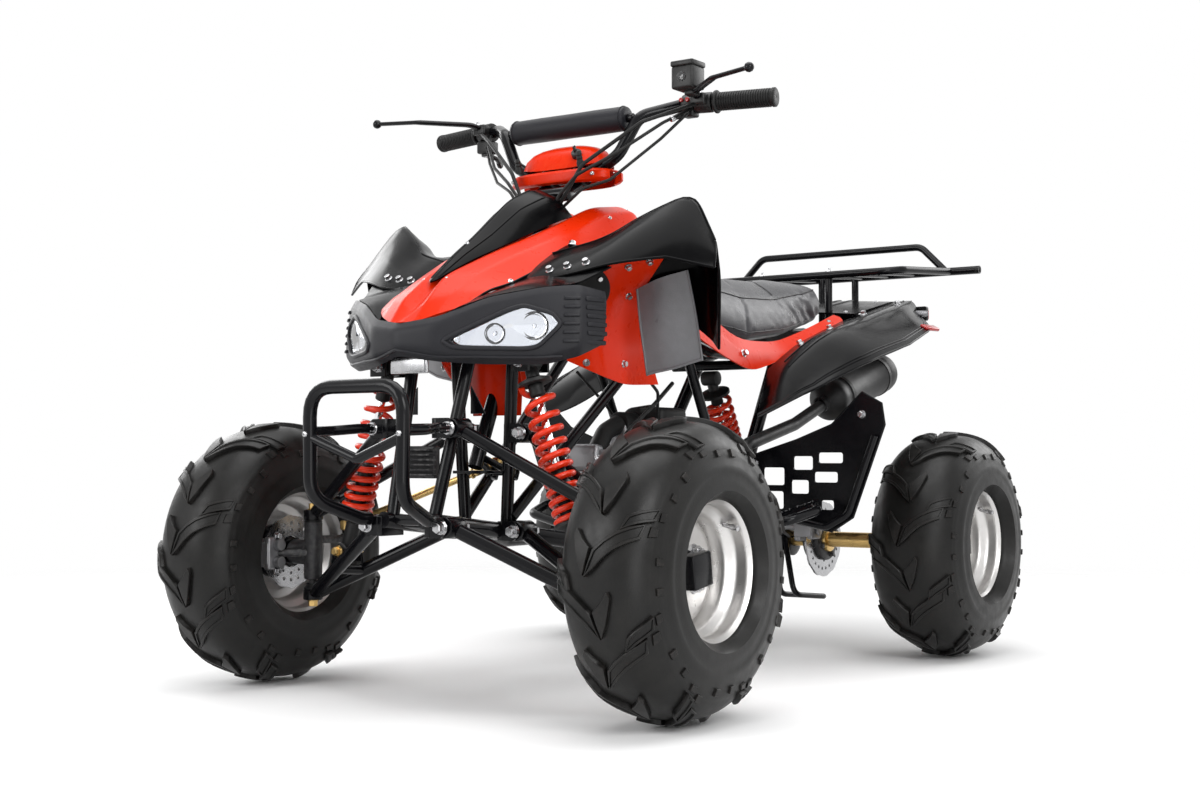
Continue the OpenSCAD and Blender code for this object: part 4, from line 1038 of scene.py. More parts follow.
make_frame()
make_bumper()
make_rack()
make_arms()
make_shocks()
make_knuckles()
make_rear_arm()


# ---- shells ----
LAMP_MIDDLE = (160, 606)
STEM_WELL = 84
BEZEL_ROWS = [
    [(0, -146, 612), (66, -126, 622), (131, -82, 652), (200, -30, 668), (240, 6, 672), (256, 56, 664)],
    [(0, -158, 600), (66, -140, 608), (128, -96, 636), (204, -38, 654), (248, 0, 656), (262, 52, 650)],
    [(0, -160, 574), (66, -140, 566), (128, -98, 562), (208, -40, 562), (252, -8, 578), (264, 44, 592)],
    [(0, -148, 560), (62, -120, 550), (124, -74, 546), (200, -26, 546), (244, 0, 558), (256, 46, 578)]]
LENS_OUTLINE = [(85, 585), (177, 637), (215, 624), (225, 609), (195, 572), (98, 574)]
COWL_ROWS = [
    [(0, -146, 614), (26, -138, 614), (58, -122, 626), (92, -92, 640)],
    [(0, -104, 640), (26, -110, 652), (62, -84, 664), (102, -46, 668)],
    [(0, -56, 680), (18, -58, 696), (64, -30, 696), (108, 8, 684)],
    [(0, 40, 728), (38, 52, 746), (80, 64, 740), (112, 84, 716)],
    [(0, 190, 785), (54, 186, 800), (88, 196, 790), (112, 176, 756)],
    [(0, 290, 815), (60, 290, 846), (92, 300, 832), (116, 286, 790)],
    [(0, 385, 820), (58, 395, 860), (90, 388, 846), (112, 370, 812)],
    [(0, 440, 790), (50, 436, 826), (86, 426, 808), (108, 410, 780)]]
COVER_ROWS = [
    [(0, -74, 684), (8, -66, 688), (14, -50, 698)], [(0, -4, 740), (14, -2, 733), (24, 2, 725)],
    [(0, 60, 786), (22, 60, 770), (39, 56, 750)], [(0, 130, 843), (30, 134, 822), (49, 126, 780)],
    [(0, 190, 870), (36, 196, 850), (58, 200, 810)], [(0, 214, 872), (38, 222, 856), (60, 236, 822)]]
FENDER_ROWS = [
    [(112, 24, 684), (113, 64, 716), (115, 104, 740), (118, 146, 760), (120, 180, 756)],
    [(198, 36, 694), (199, 88, 734), (200, 136, 764), (203, 186, 758), (206, 232, 700)],
    [(262, 68, 712), (258, 124, 768), (254, 174, 806), (254, 222, 790), (258, 262, 650)],
    [(330, 118, 722), (326, 170, 792), (322, 219, 846), (330, 256, 800), (318, 284, 600)],
    [(396, 160, 704), (392, 170, 728), (384, 186, 752), (384, 200, 690), (352, 250, 580)]]
FLAP_ROWS = [
    [(208.6, 218, 684), (209.6, 225, 618), (214.6, 240, 538)],
    [(252.6, 216, 700), (251.6, 226, 630), (258.6, 248, 548)],
    [(298.6, 234, 712), (302.6, 256, 636), (306.6, 268, 562)]]
WING_ROWS = [
    [(128, 70, 676), (134, 84, 650), (138, 96, 610), (136, 118, 560)],
    [(190, 96, 708), (180, 120, 660), (172, 146, 600), (166, 178, 536)],
    [(240, 150, 727), (190, 192, 676), (166, 226, 600), (160, 258, 524)],
    [(286, 188, 733), (192, 250, 676), (150, 330, 612), (138, 392, 530)]]
SIDE_ROWS = [
    [(121, 430, 770), (133, 440, 700), (143, 470, 640)],
    [(127, 540, 690), (141, 560, 650), (153, 600, 590)],
    [(131, 680, 628), (147, 680, 600), (155, 700, 566)],
    [(131, 830, 630), (149, 820, 608), (157, 800, 590)],
    [(131, 960, 664), (149, 960, 650), (159, 940, 640)],
    [(121, 1110, 706), (139, 1105, 700), (153, 1090, 692)]]
REAR_ROWS = [
    [(166.2, 740, 572), (212.2, 630, 506), (254.2, 545, 472)],
    [(162.2, 800, 598), (234.2, 700, 575), (328.2, 640, 530)],
    [(156.2, 880, 630), (248.2, 840, 651), (360.2, 800, 585)],
    [(158.2, 1030, 676), (248.2, 1018, 684), (362.2, 975, 626)],
    [(158.2, 1180, 714), (234.2, 1190, 722), (336.2, 1140, 668)],
    [(166.2, 1320, 748), (204.2, 1335, 750), (244.2, 1300, 704)]]
TAIL_ROWS = [
    [(-159, 1132, 708), (0, 1134, 722), (159, 1132, 708)],
    [(-158, 1190, 720), (0, 1195, 738), (158, 1190, 720)],
    [(-166, 1326, 752), (0, 1338, 764), (166, 1326, 752)],
    [(-160, 1351, 730), (0, 1357, 736), (160, 1351, 730)]]


def rounded(points, softness, steps=4, closed=False):
    """A line through corners, each rounded over that share of its two sides."""
    ends = (points[-1:], points[:1]) if closed else ([], [])
    ring_points = ends[0] + list(points) + ends[1]
    line = [] if closed else [points[0]]
    for before, here, after in zip(ring_points, ring_points[1:], ring_points[2:]):
        a, b = here.lerp(before, softness / 2), here.lerp(after, softness / 2)
        line += [a.lerp(here, t).lerp(here.lerp(b, t), t) for t in (k / steps for k in range(steps + 1))]
    return line if closed else line + [points[-1]]


def sheet(columns):
    """A grid whose points are those columns of points."""
    wide, tall = len(columns) - 1, len(columns[0]) - 1
    bm = bmesh.new()
    bmesh.ops.create_grid(bm, x_segments=wide, y_segments=tall, size=1)
    for v in bm.verts:
        v.co = columns[round((v.co.x + 1) / 2 * wide)][round((v.co.y + 1) / 2 * tall)]
    return bm


def facing_out(bm, inside):
    """Turns an open sheet's faces away from a point inside the bike."""
    bm.normal_update()
    if sum((f.calc_center_median() - inside).dot(f.normal) * f.calc_area() for f in bm.faces) < 0:
        bmesh.ops.reverse_faces(bm, faces=bm.faces)
    return bm


def surface(rows, inside, across=0.7, along=0.7, steps=4):
    """A smooth skin over rows of points of the drawing, its folds as soft as asked."""
    lines = [rounded(spots(row), across, steps) for row in rows]
    return facing_out(sheet([rounded(list(column), along, steps) for column in zip(*lines)]), spot(*inside))


def whole(rows):
    """Rows over both halves, from rows that start on the middle plane."""
    return [[(-x, y, z) for x, y, z in row[:0:-1]] + row for row in rows]


def mirrored(rows):
    return [[(-x, y, z) for x, y, z in row] for row in rows]


def loft(loops):
    """A closed form through loops of points."""
    bm = sheet([loop + loop[:1] for loop in loops])
    bmesh.ops.remove_doubles(bm, verts=bm.verts, dist=1e-6)
    bmesh.ops.holes_fill(bm, edges=bm.edges, sides=0)
    bmesh.ops.recalc_face_normals(bm, faces=bm.faces)
    return bm


def baked(bm, *steps):
    """The mesh after those modifiers, each given by its kind and settings."""
    holder = put("work", bm)
    for kind, settings in steps:
        step = holder.modifiers.new(kind.lower(), kind)
        for key, value in settings.items():
            setattr(step, key, value)
    graph = bpy.context.evaluated_depsgraph_get()
    mesh = bpy.data.meshes.new_from_object(holder.evaluated_get(graph))
    shaped = bmesh.new()
    shaped.from_mesh(mesh)
    bpy.data.objects.remove(holder)
    bpy.data.meshes.remove(mesh)
    return shaped


def walled(bm, wall):
    return baked(bm, ("SOLIDIFY", {"thickness": wall * MM, "offset": -1, "use_even_offset": True}))


def cut(bm, *cutters):
    """The mesh less those forms."""
    for cutter in cutters:
        tool = put("cutter", cutter)
        bm = baked(bm, ("BOOLEAN", {"operation": "DIFFERENCE", "solver": "EXACT", "object": tool}))
        bpy.data.objects.remove(tool)
    return bm


def prism(outline, front, back):
    """An outline given as (across, up), run from front to back."""
    bm = bmesh.new()
    face = bm.faces.new([bm.verts.new(spot(x, front, z)) for x, z in outline])
    grown = bmesh.ops.extrude_face_region(bm, geom=[face])["geom"]
    bmesh.ops.translate(bm, vec=(0, (back - front) * MM, 0),
        verts=[g for g in grown if isinstance(g, bmesh.types.BMVert)])
    bmesh.ops.recalc_face_normals(bm, faces=bm.faces)
    return bm


class Skin:
    """Finds places on a mesh, so that what is fastened to it sits on it."""

    def __init__(self, bm):
        self.tree = BVHTree.FromBMesh(bm)

    def at(self, *point):
        """The nearest place on the skin, in the drawing, and the way out of it."""
        where, normal = self.tree.find_nearest(spot(*point))[:2]
        return tuple(where / MM + Vector((0, MIDDLE_Y, 0))), normal

    def line(self, points, lift=0.0, steps=12):
        """A path along the skin past those points."""
        dense = [mix(a, b, k / steps) for a, b in zip(points, points[1:])
            for k in range(steps)] + [points[-1]]
        return [tuple(Vector(here) + normal * lift) for here, normal in (self.at(*p) for p in dense)]

    def stud(self, point, size=12.0, head=None):
        here, normal = self.at(*point)
        return (head or bolt)(here, normal, size)


def bezel_front(x):
    """How far forward the bezel's middle is at that width."""
    row = BEZEL_ROWS[2]
    for a, b in zip(row, row[1:]):
        if abs(x) <= b[0]:
            return a[1] + (b[1] - a[1]) * (abs(x) - a[0]) / (b[0] - a[0])
    return row[-1][1]


def lens_loop(side, share, depth, steps=4):
    """The lamp's outline shrunk about its middle, at a depth behind the bezel's front."""
    cx, cz = LAMP_MIDDLE
    corners = [Vector((cx + (x - cx) * share, cz + (z - cz) * share)) for x, z in LENS_OUTLINE]
    loop = rounded(corners, 0.45, steps, closed=True)
    return [(side * p.x, bezel_front(p.x) + depth, p.y) for p in loop]


def make_bezel():
    skin_mesh = surface(whole(BEZEL_ROWS), (0, 60, 605), 0.35, 0.6)
    skin = Skin(skin_mesh)
    holes = [prism([(p[0], p[2]) for p in lens_loop(side, 1.04, 0)], -240, 90) for side in BOTH]
    shell = cut(walled(skin_mesh, 6), *holes)
    piece("bezel", shell, "chassis", "grained plastic", "headlight_bezel", smooth=28)
    lips, grips = [], []
    for side in BOTH:
        lip = []
        for p in lens_loop(side, 1.1, -4, 6):
            here, normal = skin.at(*p)
            lip.append(tuple(Vector(here) + normal * 0.5))
        lips.append(tubes((lip + lip[:2], 7.5, 0)))
        inner = [tuple(Vector(p)) for p in lens_loop(side, 1.03, 1.5, 6)]
        lips.append(tubes((inner + inner[:2], 4.5, 0)))
        for k in range(6):
            z = 582 + k * 13.5
            here, normal = skin.at(side * 254, 30, z)
            grips.append(block(tuple(Vector(here) - normal * 1.5), (9, 40, 7.5), 2.2,
                    Matrix.Rotation(side * -0.25, 4, "Z"), 2))
            here, normal = skin.at(side * 236, -8 + k * 0.6, z)
            grips.append(block(here, (26, 7, 5), 1.8, Matrix.Rotation(side * 0.75, 4, "Z"), 2))
    lips.append(tubes((skin.line([(-228, -20, 556), (-124, -98, 552), (0, -160, 566), (124, -98, 552),
            (228, -20, 556)], 0.3), 6, 0)))
    piece("bezel_lips", join(*lips), "chassis", "grained plastic")
    piece("bezel_grips", join(*grips), "chassis", "grained plastic")


def make_headlights():
    glass, bowls, bulbs, trims, sockets = [], [], [], [], []
    for side in BOTH:
        outer = [lens_loop(side, share, depth) for share,
            depth in ((1.02, 9), (1.02, 4.4), (0.98, 3.0), (0.7, 1.6), (0.4, 1.0), (0.12, 0.8))]
        inner = [lens_loop(side, share, depth) for share, depth in ((0.4, 3.4), (0.96, 5.6))]
        glass.append(loft([spots(loop) for loop in outer + inner]))
        shells = [lens_loop(side, share, depth) for share,
            depth in ((1.0, 9), (0.9, 15), (0.74, 20), (0.5, 23), (0.2, 24))]
        bowls.append(loft([spots(loop) for loop in shells + [lens_loop(side, 0.2, 25.5),
                lens_loop(side, 1.0, 25.5)]]))
        for x, z, r in ((186, 606, 20), (136, 594, 14)):
            front = bezel_front(x)
            middle = (side * x, front + 21, z)
            bowls.append(ring(middle, (side * 0.5, -1, 0),
                    [(3, -1), (r * 0.55, 1), (r * 0.85, 6), (r, 12), (r - 1.4, 12.5),
                        (r * 0.8, 6.5)], 28))
            sockets.append(ring(middle, (side * 0.5, -1, 0),
                    [(r * 0.34, 4), (r * 0.52, 4.6), (r * 0.52, 2)], 28))
            sockets.append(ring(middle, (side * 0.5, -1, 0),
                    [(r, 11), (r + 2.4, 12.4), (r + 2.8, 9), (r, 8)], 28))
            bulbs.append(ring(middle, (side * 0.5, -1, 0),
                    [(0.01, 12), (3, 11), (4.2, 8), (4.2, 2), (5.4, 1), (5.4, -1)], 20))
        for k in range(7):
            x = 104 + k * 17
            trims.append(tubes(([(side * x, bezel_front(x) + 19.5, 578),
                    (side * (x + 7), bezel_front(x + 7) + 19.5, 622 - abs(k - 4) * 6)], 1.6, 0), sides=2))
    piece("headlight_bowls", join(*bowls), "chassis", "chrome", "headlights", smooth=24)
    piece("headlight_flutes", join(*trims), "chassis", "chrome")
    piece("headlight_sockets", join(*sockets), "chassis", "control black")
    piece("headlight_bulbs", join(*bulbs), "chassis", "clear lens")
    piece("headlight_glass", join(*glass), "chassis", "clear lens", smooth=40)


def make_cowl():
    skin_mesh = surface(whole(COWL_ROWS), (0, 180, 560), 0.3, 0.5)
    skin = Skin(skin_mesh)
    well = drum(tuple(on_stem(720)), tuple(on_stem(940)), STEM_WELL, 0, 48)
    piece("cowl", cut(walled(skin_mesh, 4.5), well), "chassis", "orange plastic", "nose_cowl", smooth=26)
    heads = []
    for side in BOTH:
        for p, size in (((side * 98, 10, 677), 11), ((side * 96, 300, 824), 8), ((side * 70, 396, 856), 8),
                ((side * 24, -60, 690), 5)):
            heads.append(skin.stud(p, size, button))
    piece("cowl_screws", join(*heads), "chassis", "bright zinc")
    edge = [tubes((skin.line([(s * 90, -92, 640), (s * 101, -46, 667), (s * 107, 8, 684),
                        (s * 111, 84, 716), (s * 111, 176, 756)], -1.4), 4, 0)) for s in BOTH]
    piece("cowl_seam", join(*edge), "chassis", "black plastic")


def make_cover():
    skin_mesh = surface(whole(COVER_ROWS), (0, 180, 700), 0.35, 0.7)
    skin = Skin(skin_mesh)
    ribs = []
    for side in BOTH:
        ribs.append(tubes((skin.line([(side * 7, -60, 692), (side * 12, -2, 734), (side * 19, 60, 774),
                (side * 26, 131, 828), (side * 32, 194, 856)], 0.2), 3.2, 0)))
    ribs.append(tubes((skin.line([(0, -72, 686), (0, -4, 740), (0, 60, 786), (0, 130, 843), (0, 190, 870)],
            0), 2.4, 0)))
    piece("stem_cover", skin_mesh, "chassis", "black plastic", "steering_cover", wall=3, bevel=0.8,
        smooth=30)
    piece("stem_cover_ribs", join(*ribs), "chassis", "black plastic")
    piece("stem_cover_screw", skin.stud((0, 20, 758), 8, button), "chassis", "bright zinc")


def make_fenders():
    for side, name in ((1, "left"), (-1, "right")):
        rows = FENDER_ROWS if side > 0 else mirrored(FENDER_ROWS)
        skin_mesh = surface(rows, (side * 250, 150, 500), 0.55, 0.75, 5)
        skin = Skin(skin_mesh)
        rims = [tubes((skin.line([(side * x, y, z) for x, y, z in line], -1.2), 4.6, 0)) for line in
            ([row[0] for row in FENDER_ROWS[:4]] + [FENDER_ROWS[4][0]], FENDER_ROWS[4],
                [row[-1] for row in FENDER_ROWS])]
        crest = tubes((skin.line([(side * x, y, z) for x, y, z in [row[2] for row in FENDER_ROWS]], 0.4),
                3.4, 0))
        piece("front_fender_" + name + "_look", skin_mesh, "chassis", "black plastic",
            "front_fender_" + name, wall=3, bevel=0.8, smooth=32)
        piece("front_fender_" + name + "_rims", join(crest, *rims), "chassis", "black plastic")
        heads = [skin.stud((side * x, y, z), 11) for x, y,
            z in ((150, 52, 702), (182, 56, 708), (214, 64, 712), (122, 150, 756))]
        piece("front_fender_" + name + "_bolts", join(*heads), "chassis", "bright zinc")


def make_liners():
    flaps, wings, heads, darks, hems = [], [], [], [], []
    for side in BOTH:
        flap_rows = FLAP_ROWS if side > 0 else mirrored(FLAP_ROWS)
        wing_rows = WING_ROWS if side > 0 else mirrored(WING_ROWS)
        flap = surface(flap_rows, (side * 255, 400, 620), 0.8, 0.8, 5)
        wing = surface(wing_rows, (side * 150, 420, 600), 0.5, 0.6, 5)
        flap_skin, wing_skin = Skin(flap), Skin(wing)
        flaps.append(walled(flap, 2.6))
        wings.append(walled(wing, 2.6))
        hems.append(tubes((flap_skin.line([(side * x, y, z) for x, y,
                z in ((214.6, 240, 541), (258.6, 254, 551), (306.6, 268, 565))], 0), 5, 0),
                (flap_skin.line([(side * x, y, z) for x, y,
                            z in ((208.6, 218, 684), (210.6, 230, 618), (214.6, 240, 538))], 0), 4, 0),
                (flap_skin.line([(side * x, y, z) for x, y,
                            z in ((298.6, 234, 712), (302.6, 256, 636), (306.6, 268, 562))], 0), 4, 0)))
        for p in ((150, 80, 668), (205, 120, 690), (236, 156, 706), (262, 178, 716), (196, 216, 670),
                (160, 246, 560), (150, 150, 560)):
            heads.append(wing_skin.stud((side * p[0], p[1], p[2]), 10))
        # A flat black disc with a raised lip on each wing: painted shade, a dark patch standing for the
        # shaded cavity in the wing.
        here, normal = wing_skin.at(side * 176, 112, 676)
        darks.append(ring(here, tuple(normal), [(0.01, 0.6), (36, 0.8), (40, 1.6), (42, 0.4), (42, -1)],
                40))
    piece("fender_flaps", join(*flaps), "chassis", "grey flap", "fender_liners", smooth=40)
    piece("fender_flap_hems", join(*hems), "chassis", "grey flap")
    piece("fender_wings", join(*wings), "chassis", "orange plastic", smooth=30)
    piece("fender_wing_bolts", join(*heads), "chassis", "bright zinc")
    # Painted shade: flat dark discs on the wings standing for the shaded cavity there.
    piece("fender_wing_painted_shade", join(*darks), "chassis", "soft rubber")


def section(y, half, low, high, top=0.8, bulge=1.0):
    """A rounded cross-section of a saddle or tank."""
    waist = low + (high - low) * 0.52
    corners = [(half, low), (half * bulge, waist), (half * top, high), (-half * top, high),
        (-half * bulge, waist), (-half, low)]
    return rounded([spot(x, y, z) for x, z in corners], 0.75, 5, closed=True)


def make_tank():
    rings = ((262, 48, 700, 760), (266, 52, 699, 768), (330, 56, 700, 786), (420, 58, 700, 776),
        (456, 57, 700, 767), (461.7, 54, 702, 762))
    form = loft([section(y, w, a, b, 0.82) for y, w, a, b in rings])
    skin = Skin(form)
    piece("tank_cover_look", form, "chassis", "black plastic", "tank_cover", smooth=40)
    here, normal = skin.at(0, 352, 790)
    cap = [ring(here, tuple(normal), [(0.01, 15), (14, 15), (18, 13), (19.5, 10), (19.5, 2), (22, 1.4),
            (22, -1)], 36)]
    for k in range(14):
        a = math.tau * k / 14
        cap.append(block(tuple(Vector(here) + Vector((19.4 * math.cos(a), 19.4 * math.sin(a), 7.5))),
                (3.6, 3.6, 8), 1.2, Matrix.Rotation(a, 4, "Z"), 1))
    piece("fuel_cap", join(*cap), "chassis", "grained plastic")


SEAT_RINGS = ((462, 62, 716, 786), (520, 84, 676, 778), (640, 104, 634, 756), (770, 118, 622, 744),
    (900, 120, 640, 748),
    (1040, 116, 676, 768), (1080, 106, 694, 774), (1128, 84, 706, 766))


CLOTH_STEPS = 20
CLOTH_VOXEL = 5.0
CLOTH_REACH = 22.0
CLOTH_PRESSURE = 4.0


def swollen(form):
    """A sewn cushion: its closed form blown up a little as cloth, no point moving further than the cap."""
    obj = put("cushion", form)
    remesh = obj.modifiers.new("remesh", "REMESH")
    remesh.mode = "VOXEL"
    remesh.voxel_size = CLOTH_VOXEL * MM
    graph = bpy.context.evaluated_depsgraph_get()
    mesh = bpy.data.meshes.new_from_object(obj.evaluated_get(graph))
    obj.modifiers.clear()
    obj.data = mesh
    start = [v.co.copy() for v in mesh.vertices]
    scene = bpy.context.scene
    hold = obj.vertex_groups.new(name="base")
    floor_of = {}
    for v in mesh.vertices:
        key = round(v.co.y * 50)
        floor_of[key] = min(floor_of.get(key, 9), v.co.z)
    hold.add([v.index for v in mesh.vertices if v.co.z < floor_of[round(v.co.y * 50)] + 0.012], 1.0,
        "REPLACE")
    cloth = obj.modifiers.new("cloth", "CLOTH")
    cloth.settings.use_pressure = True
    cloth.settings.uniform_pressure_force = CLOTH_PRESSURE
    cloth.settings.quality = 5
    cloth.settings.mass = 0.3
    cloth.settings.vertex_group_mass = hold.name
    cloth.settings.effector_weights.gravity = 0.0
    cloth.point_cache.frame_start = 1
    cloth.point_cache.frame_end = CLOTH_STEPS
    for k in range(1, CLOTH_STEPS + 1):
        scene.frame_set(k)
    graph = bpy.context.evaluated_depsgraph_get()
    after = bpy.data.meshes.new_from_object(obj.evaluated_get(graph))
    for was, v in zip(start, after.vertices):
        move = v.co - was
        if move.length > CLOTH_REACH * MM:
            v.co = was + move.normalized() * CLOTH_REACH * MM
    obj.modifiers.clear()
    obj.data = after
    scene.frame_set(1)
    bm = bmesh.new()
    bm.from_mesh(obj.data)
    bpy.data.objects.remove(obj)
    bmesh.ops.smooth_vert(bm, verts=bm.verts, factor=0.5, use_axis_x=True, use_axis_y=True, use_axis_z=True)
    return bm


def make_seat():
    rings = [(y, w - 3, low + 3, high - 5) for y, w, low, high in SEAT_RINGS]
    first, last = rings[0], rings[-1]
    rings = [(first[0] + 1, first[1] - 8, first[2] + 6,
            first[3] - 8)] + [(first[0] + 6, *first[1:])] + rings[1:-1] + [
        (last[0] - 8, *last[1:]), (last[0] - 1, last[1] - 8, last[2] + 6, last[3] - 8)]
    form = swollen(loft([section(y, w, a, b, 0.82, 1.02) for y, w, a, b in rings]))
    for v in form.verts:
        y = v.co.y / MM + MIDDLE_Y
        side = abs(v.co.x)
        # Creases pulled into the lower rear sides, where the cover is drawn under the base
        fold = math.exp(-((y - 1010) / 90) ** 2) * max(0, 1 - abs(v.co.z / MM - 700) / 34)
        v.co.x *= 1 - 0.05 * fold * (0.5
            + 0.5 * math.sin(y * 0.16 + v.co.z / MM * 0.1)) * min(1, side / 0.06)
    form.normal_update()
    skin = Skin(form)
    obj = piece("seat_cushion", form, "chassis", "seat vinyl", "seat", smooth=60, subdivide=1)
    seams = []
    for side in BOTH:
        upper = [(side * w * 0.86, y, high - (high - low) * 0.13) for y, w, low, high in SEAT_RINGS[1:-1]]
        seams.append((skin.line(upper, 0.4, 16), 3.2, 0))
        lower = [(side * w * 1.02, y, low + (high - low) * 0.2) for y, w, low, high in SEAT_RINGS[1:-1]]
        seams.append((skin.line(lower, 0.2, 16), 2.2, 0))
    for y, w, z in ((700, 112, 754), (905, 118, 752)):
        seams.append((skin.line([(-w * 0.8, y, z - 8), (-w * 0.4, y, z), (w * 0.4, y, z),
                (w * 0.8, y, z - 8)], 0.1, 16), 2.4, 0))
    piece("seat_piping", tubes(*seams, sides=3), "chassis", "seat side vinyl")


def make_sides():
    panels, heads = [], []
    for side in BOTH:
        skin_mesh = surface(SIDE_ROWS if side > 0 else mirrored(SIDE_ROWS), (0, 800, 640), 0.5, 0.7)
        skin = Skin(skin_mesh)
        panels.append(walled(skin_mesh, 3))
        heads.append(skin.stud((side * 146, 680, 600), 12))
        heads.append(skin.stud((side * 136, 1060, 690), 10, button))
        heads.append(skin.stud((side * 126, 470, 730), 10, button))
    piece("side_panels_look", join(*panels), "chassis", "orange plastic", "side_panels", smooth=30)
    piece("side_panel_bolts", join(*heads), "chassis", "bright zinc")


def make_rear_fenders():
    for side, name in ((1, "left"), (-1, "right")):
        rows = REAR_ROWS if side > 0 else mirrored(REAR_ROWS)
        skin_mesh = surface(rows, (side * 200, 1000, 400), 0.55, 0.75, 5)
        skin = Skin(skin_mesh)
        ribs = []
        for share in (0.98, 0.86, 0.8):
            line = [mix(row[1], row[2], share) for row in rows]
            ribs.append((skin.line(line, 0.2 if share < 0.9 else -0.8), 4.6 if share > 0.9 else 3.4, 0))
        for share in (0.5, 0.94):
            ribs.append((skin.line([mix(row[0], row[1], share) for row in rows[1:]], 0.2), 3.0, 0))
        piece("rear_fender_" + name + "_look", skin_mesh, "chassis", "black plastic", "rear_fender_" + name,
            wall=3, bevel=0.8, smooth=32)
        piece("rear_fender_" + name + "_ribs", tubes(*ribs, sides=3), "chassis", "black plastic")
        heads = [skin.stud((side * x, y, z), 12) for x, y,
            z in ((172, 860, 632), (172, 990, 670), (172, 1150, 712), (196, 1270, 742))]
        piece("rear_fender_" + name + "_bolts", join(*heads), "chassis", "bright zinc")
        here, normal = skin.at(side * 330, 1150, 664)
        turn = toward(tuple(normal))
        amber = block(tuple(Vector(here) + normal * 2), (48, 20, 8), 3, turn)
        piece("side_reflector_" + name, amber, "chassis", "red lens")


def make_tail():
    skin_mesh = surface(TAIL_ROWS, (0, 1250, 600), 0.7, 0.6)
    skin = Skin(skin_mesh)
    holes = [drum((k * 84, 1160, 690), (k * 84, 1160, 780), 19, 0, 32) for k in BOTH]
    heads = [skin.stud((k * 130, y, 730), 10, button) for k in BOTH for y in (1150, 1300)]
    ribs = [(skin.line([(k * x, 1190, 734), (k * x, 1326, 762)], 0), 4, 0) for k in BOTH for x in (30, 60)]
    piece("tail_cover_look", cut(walled(skin_mesh, 3), *holes), "chassis", "black plastic", "tail_cover",
        smooth=30)
    piece("tail_cover_ribs", tubes(*ribs, sides=3), "chassis", "black plastic")
    piece("tail_cover_screws", join(*heads), "chassis", "bright zinc")
    housings, lenses, tips = [block((0, 1369, 720), (70, 8, 40), 3)], [block((0, 1377.5, 720), (62, 11, 32),
            4)], []
    for k in BOTH:
        housings.append(block((k * 214, 1328, 718), (56, 18, 32), 4))
        lenses.append(block((k * 214, 1341, 718), (50, 11, 26), 4))
        tips.append(block((k * 236, 1306, 716), (30, 40, 12), 4, Matrix.Rotation(k * 0.5, 4, "Z")))
        for row in range(3):
            housings.append(block((k * 214, 1347, 710 + row * 8), (46, 1.2, 1.4), 0.5, None, 1))
    for row in range(4):
        lenses.append(block((0, 1383.4, 708 + row * 8), (56, 1.2, 3), 0.5, None, 1))
    piece("tail_lamp_housings", join(*housings), "chassis", "black plastic", "tail_light")
    piece("tail_lamp_lenses", join(*lenses), "chassis", "red lens")
    piece("tail_tips", join(*tips), "chassis", "silver grey")


make_bezel()
make_headlights()
make_cowl()
make_cover()
make_fenders()
make_liners()
make_tank()
make_seat()
make_sides()
make_rear_fenders()
make_tail()


# ---- steering and controls ----
CLAMP = Vector((0, 300, 903))
BAR = [(60, 300, 903), (116, 300, 936), (150, 312, 1000), (212, 372, 1025), (377, 398, 1022)]


def on_bar(x):
    return mix(BAR[3], BAR[4], (x - BAR[3][0]) / (BAR[4][0] - BAR[3][0]))


def along_bar(side, start, stop, d, edge=1.5):
    return drum(sided(side, on_bar(start)), sided(side, on_bar(stop)), d, edge, 36)


def make_steering():
    top = on_stem(866)
    foot = on_stem(382.9)
    pitman = Vector((0, 0.918, -0.397)) * 74
    parts = [tubes(([tuple(foot), tuple(top)], 25, 0), sides=7),
        drum(tuple(on_stem(664)), tuple(on_stem(704)), 34, 2)]
    nuts = []
    for k in BOTH:
        boss = Vector((k * 22, 117.9, 370.6))
        parts.append(drum(tuple(boss - STEM_AXIS * 8), tuple(boss + STEM_AXIS * 8), 20, 1.5))
        parts.append(tubes(([tuple(on_stem(400) + Vector((k * 6, 4, 0))), tuple(boss - pitman * 0.1)], 12,
                    0)))
        clamp = CLAMP + Vector((k * 34, 0, 0))
        parts.append(drum(tuple(clamp - Vector((10, 0, 0))), tuple(clamp + Vector((10, 0, 0))), 38, 2, 40))
        parts.append(block(tuple(clamp + Vector((0, 0, 2))), (20, 52, 9), 2))
        parts.append(tubes(([tuple(top + Vector((k * 34, 0, 0))), tuple(clamp + Vector((0, -10, -15)))], 18,
                    0)))
        parts.append(tubes(([tuple(clamp + Vector((0, 0, 16))), tuple(clamp + Vector((0, 0, 48)))], 10, 0)))
        for s in BOTH:
            nuts.append(bolt(tuple(clamp + Vector((0, s * 20, 7))), (0, 0, 1), 9))
    parts.append(drum(tuple(top - Vector((44, 0, 0))), tuple(top + Vector((44, 0, 0))), 26, 2))
    piece("steering_stem_look", join(*parts), "steering", "black paint", "steering_stem")
    piece("steering_clamp_bolts", join(*nuts), "steering", "bright zinc")
    path = [sided(-1, p) for p in BAR[::-1]] + BAR
    piece("handlebar_look", tubes((path, 22.2, 40), sides=8), "steering", "black paint", "handlebar")


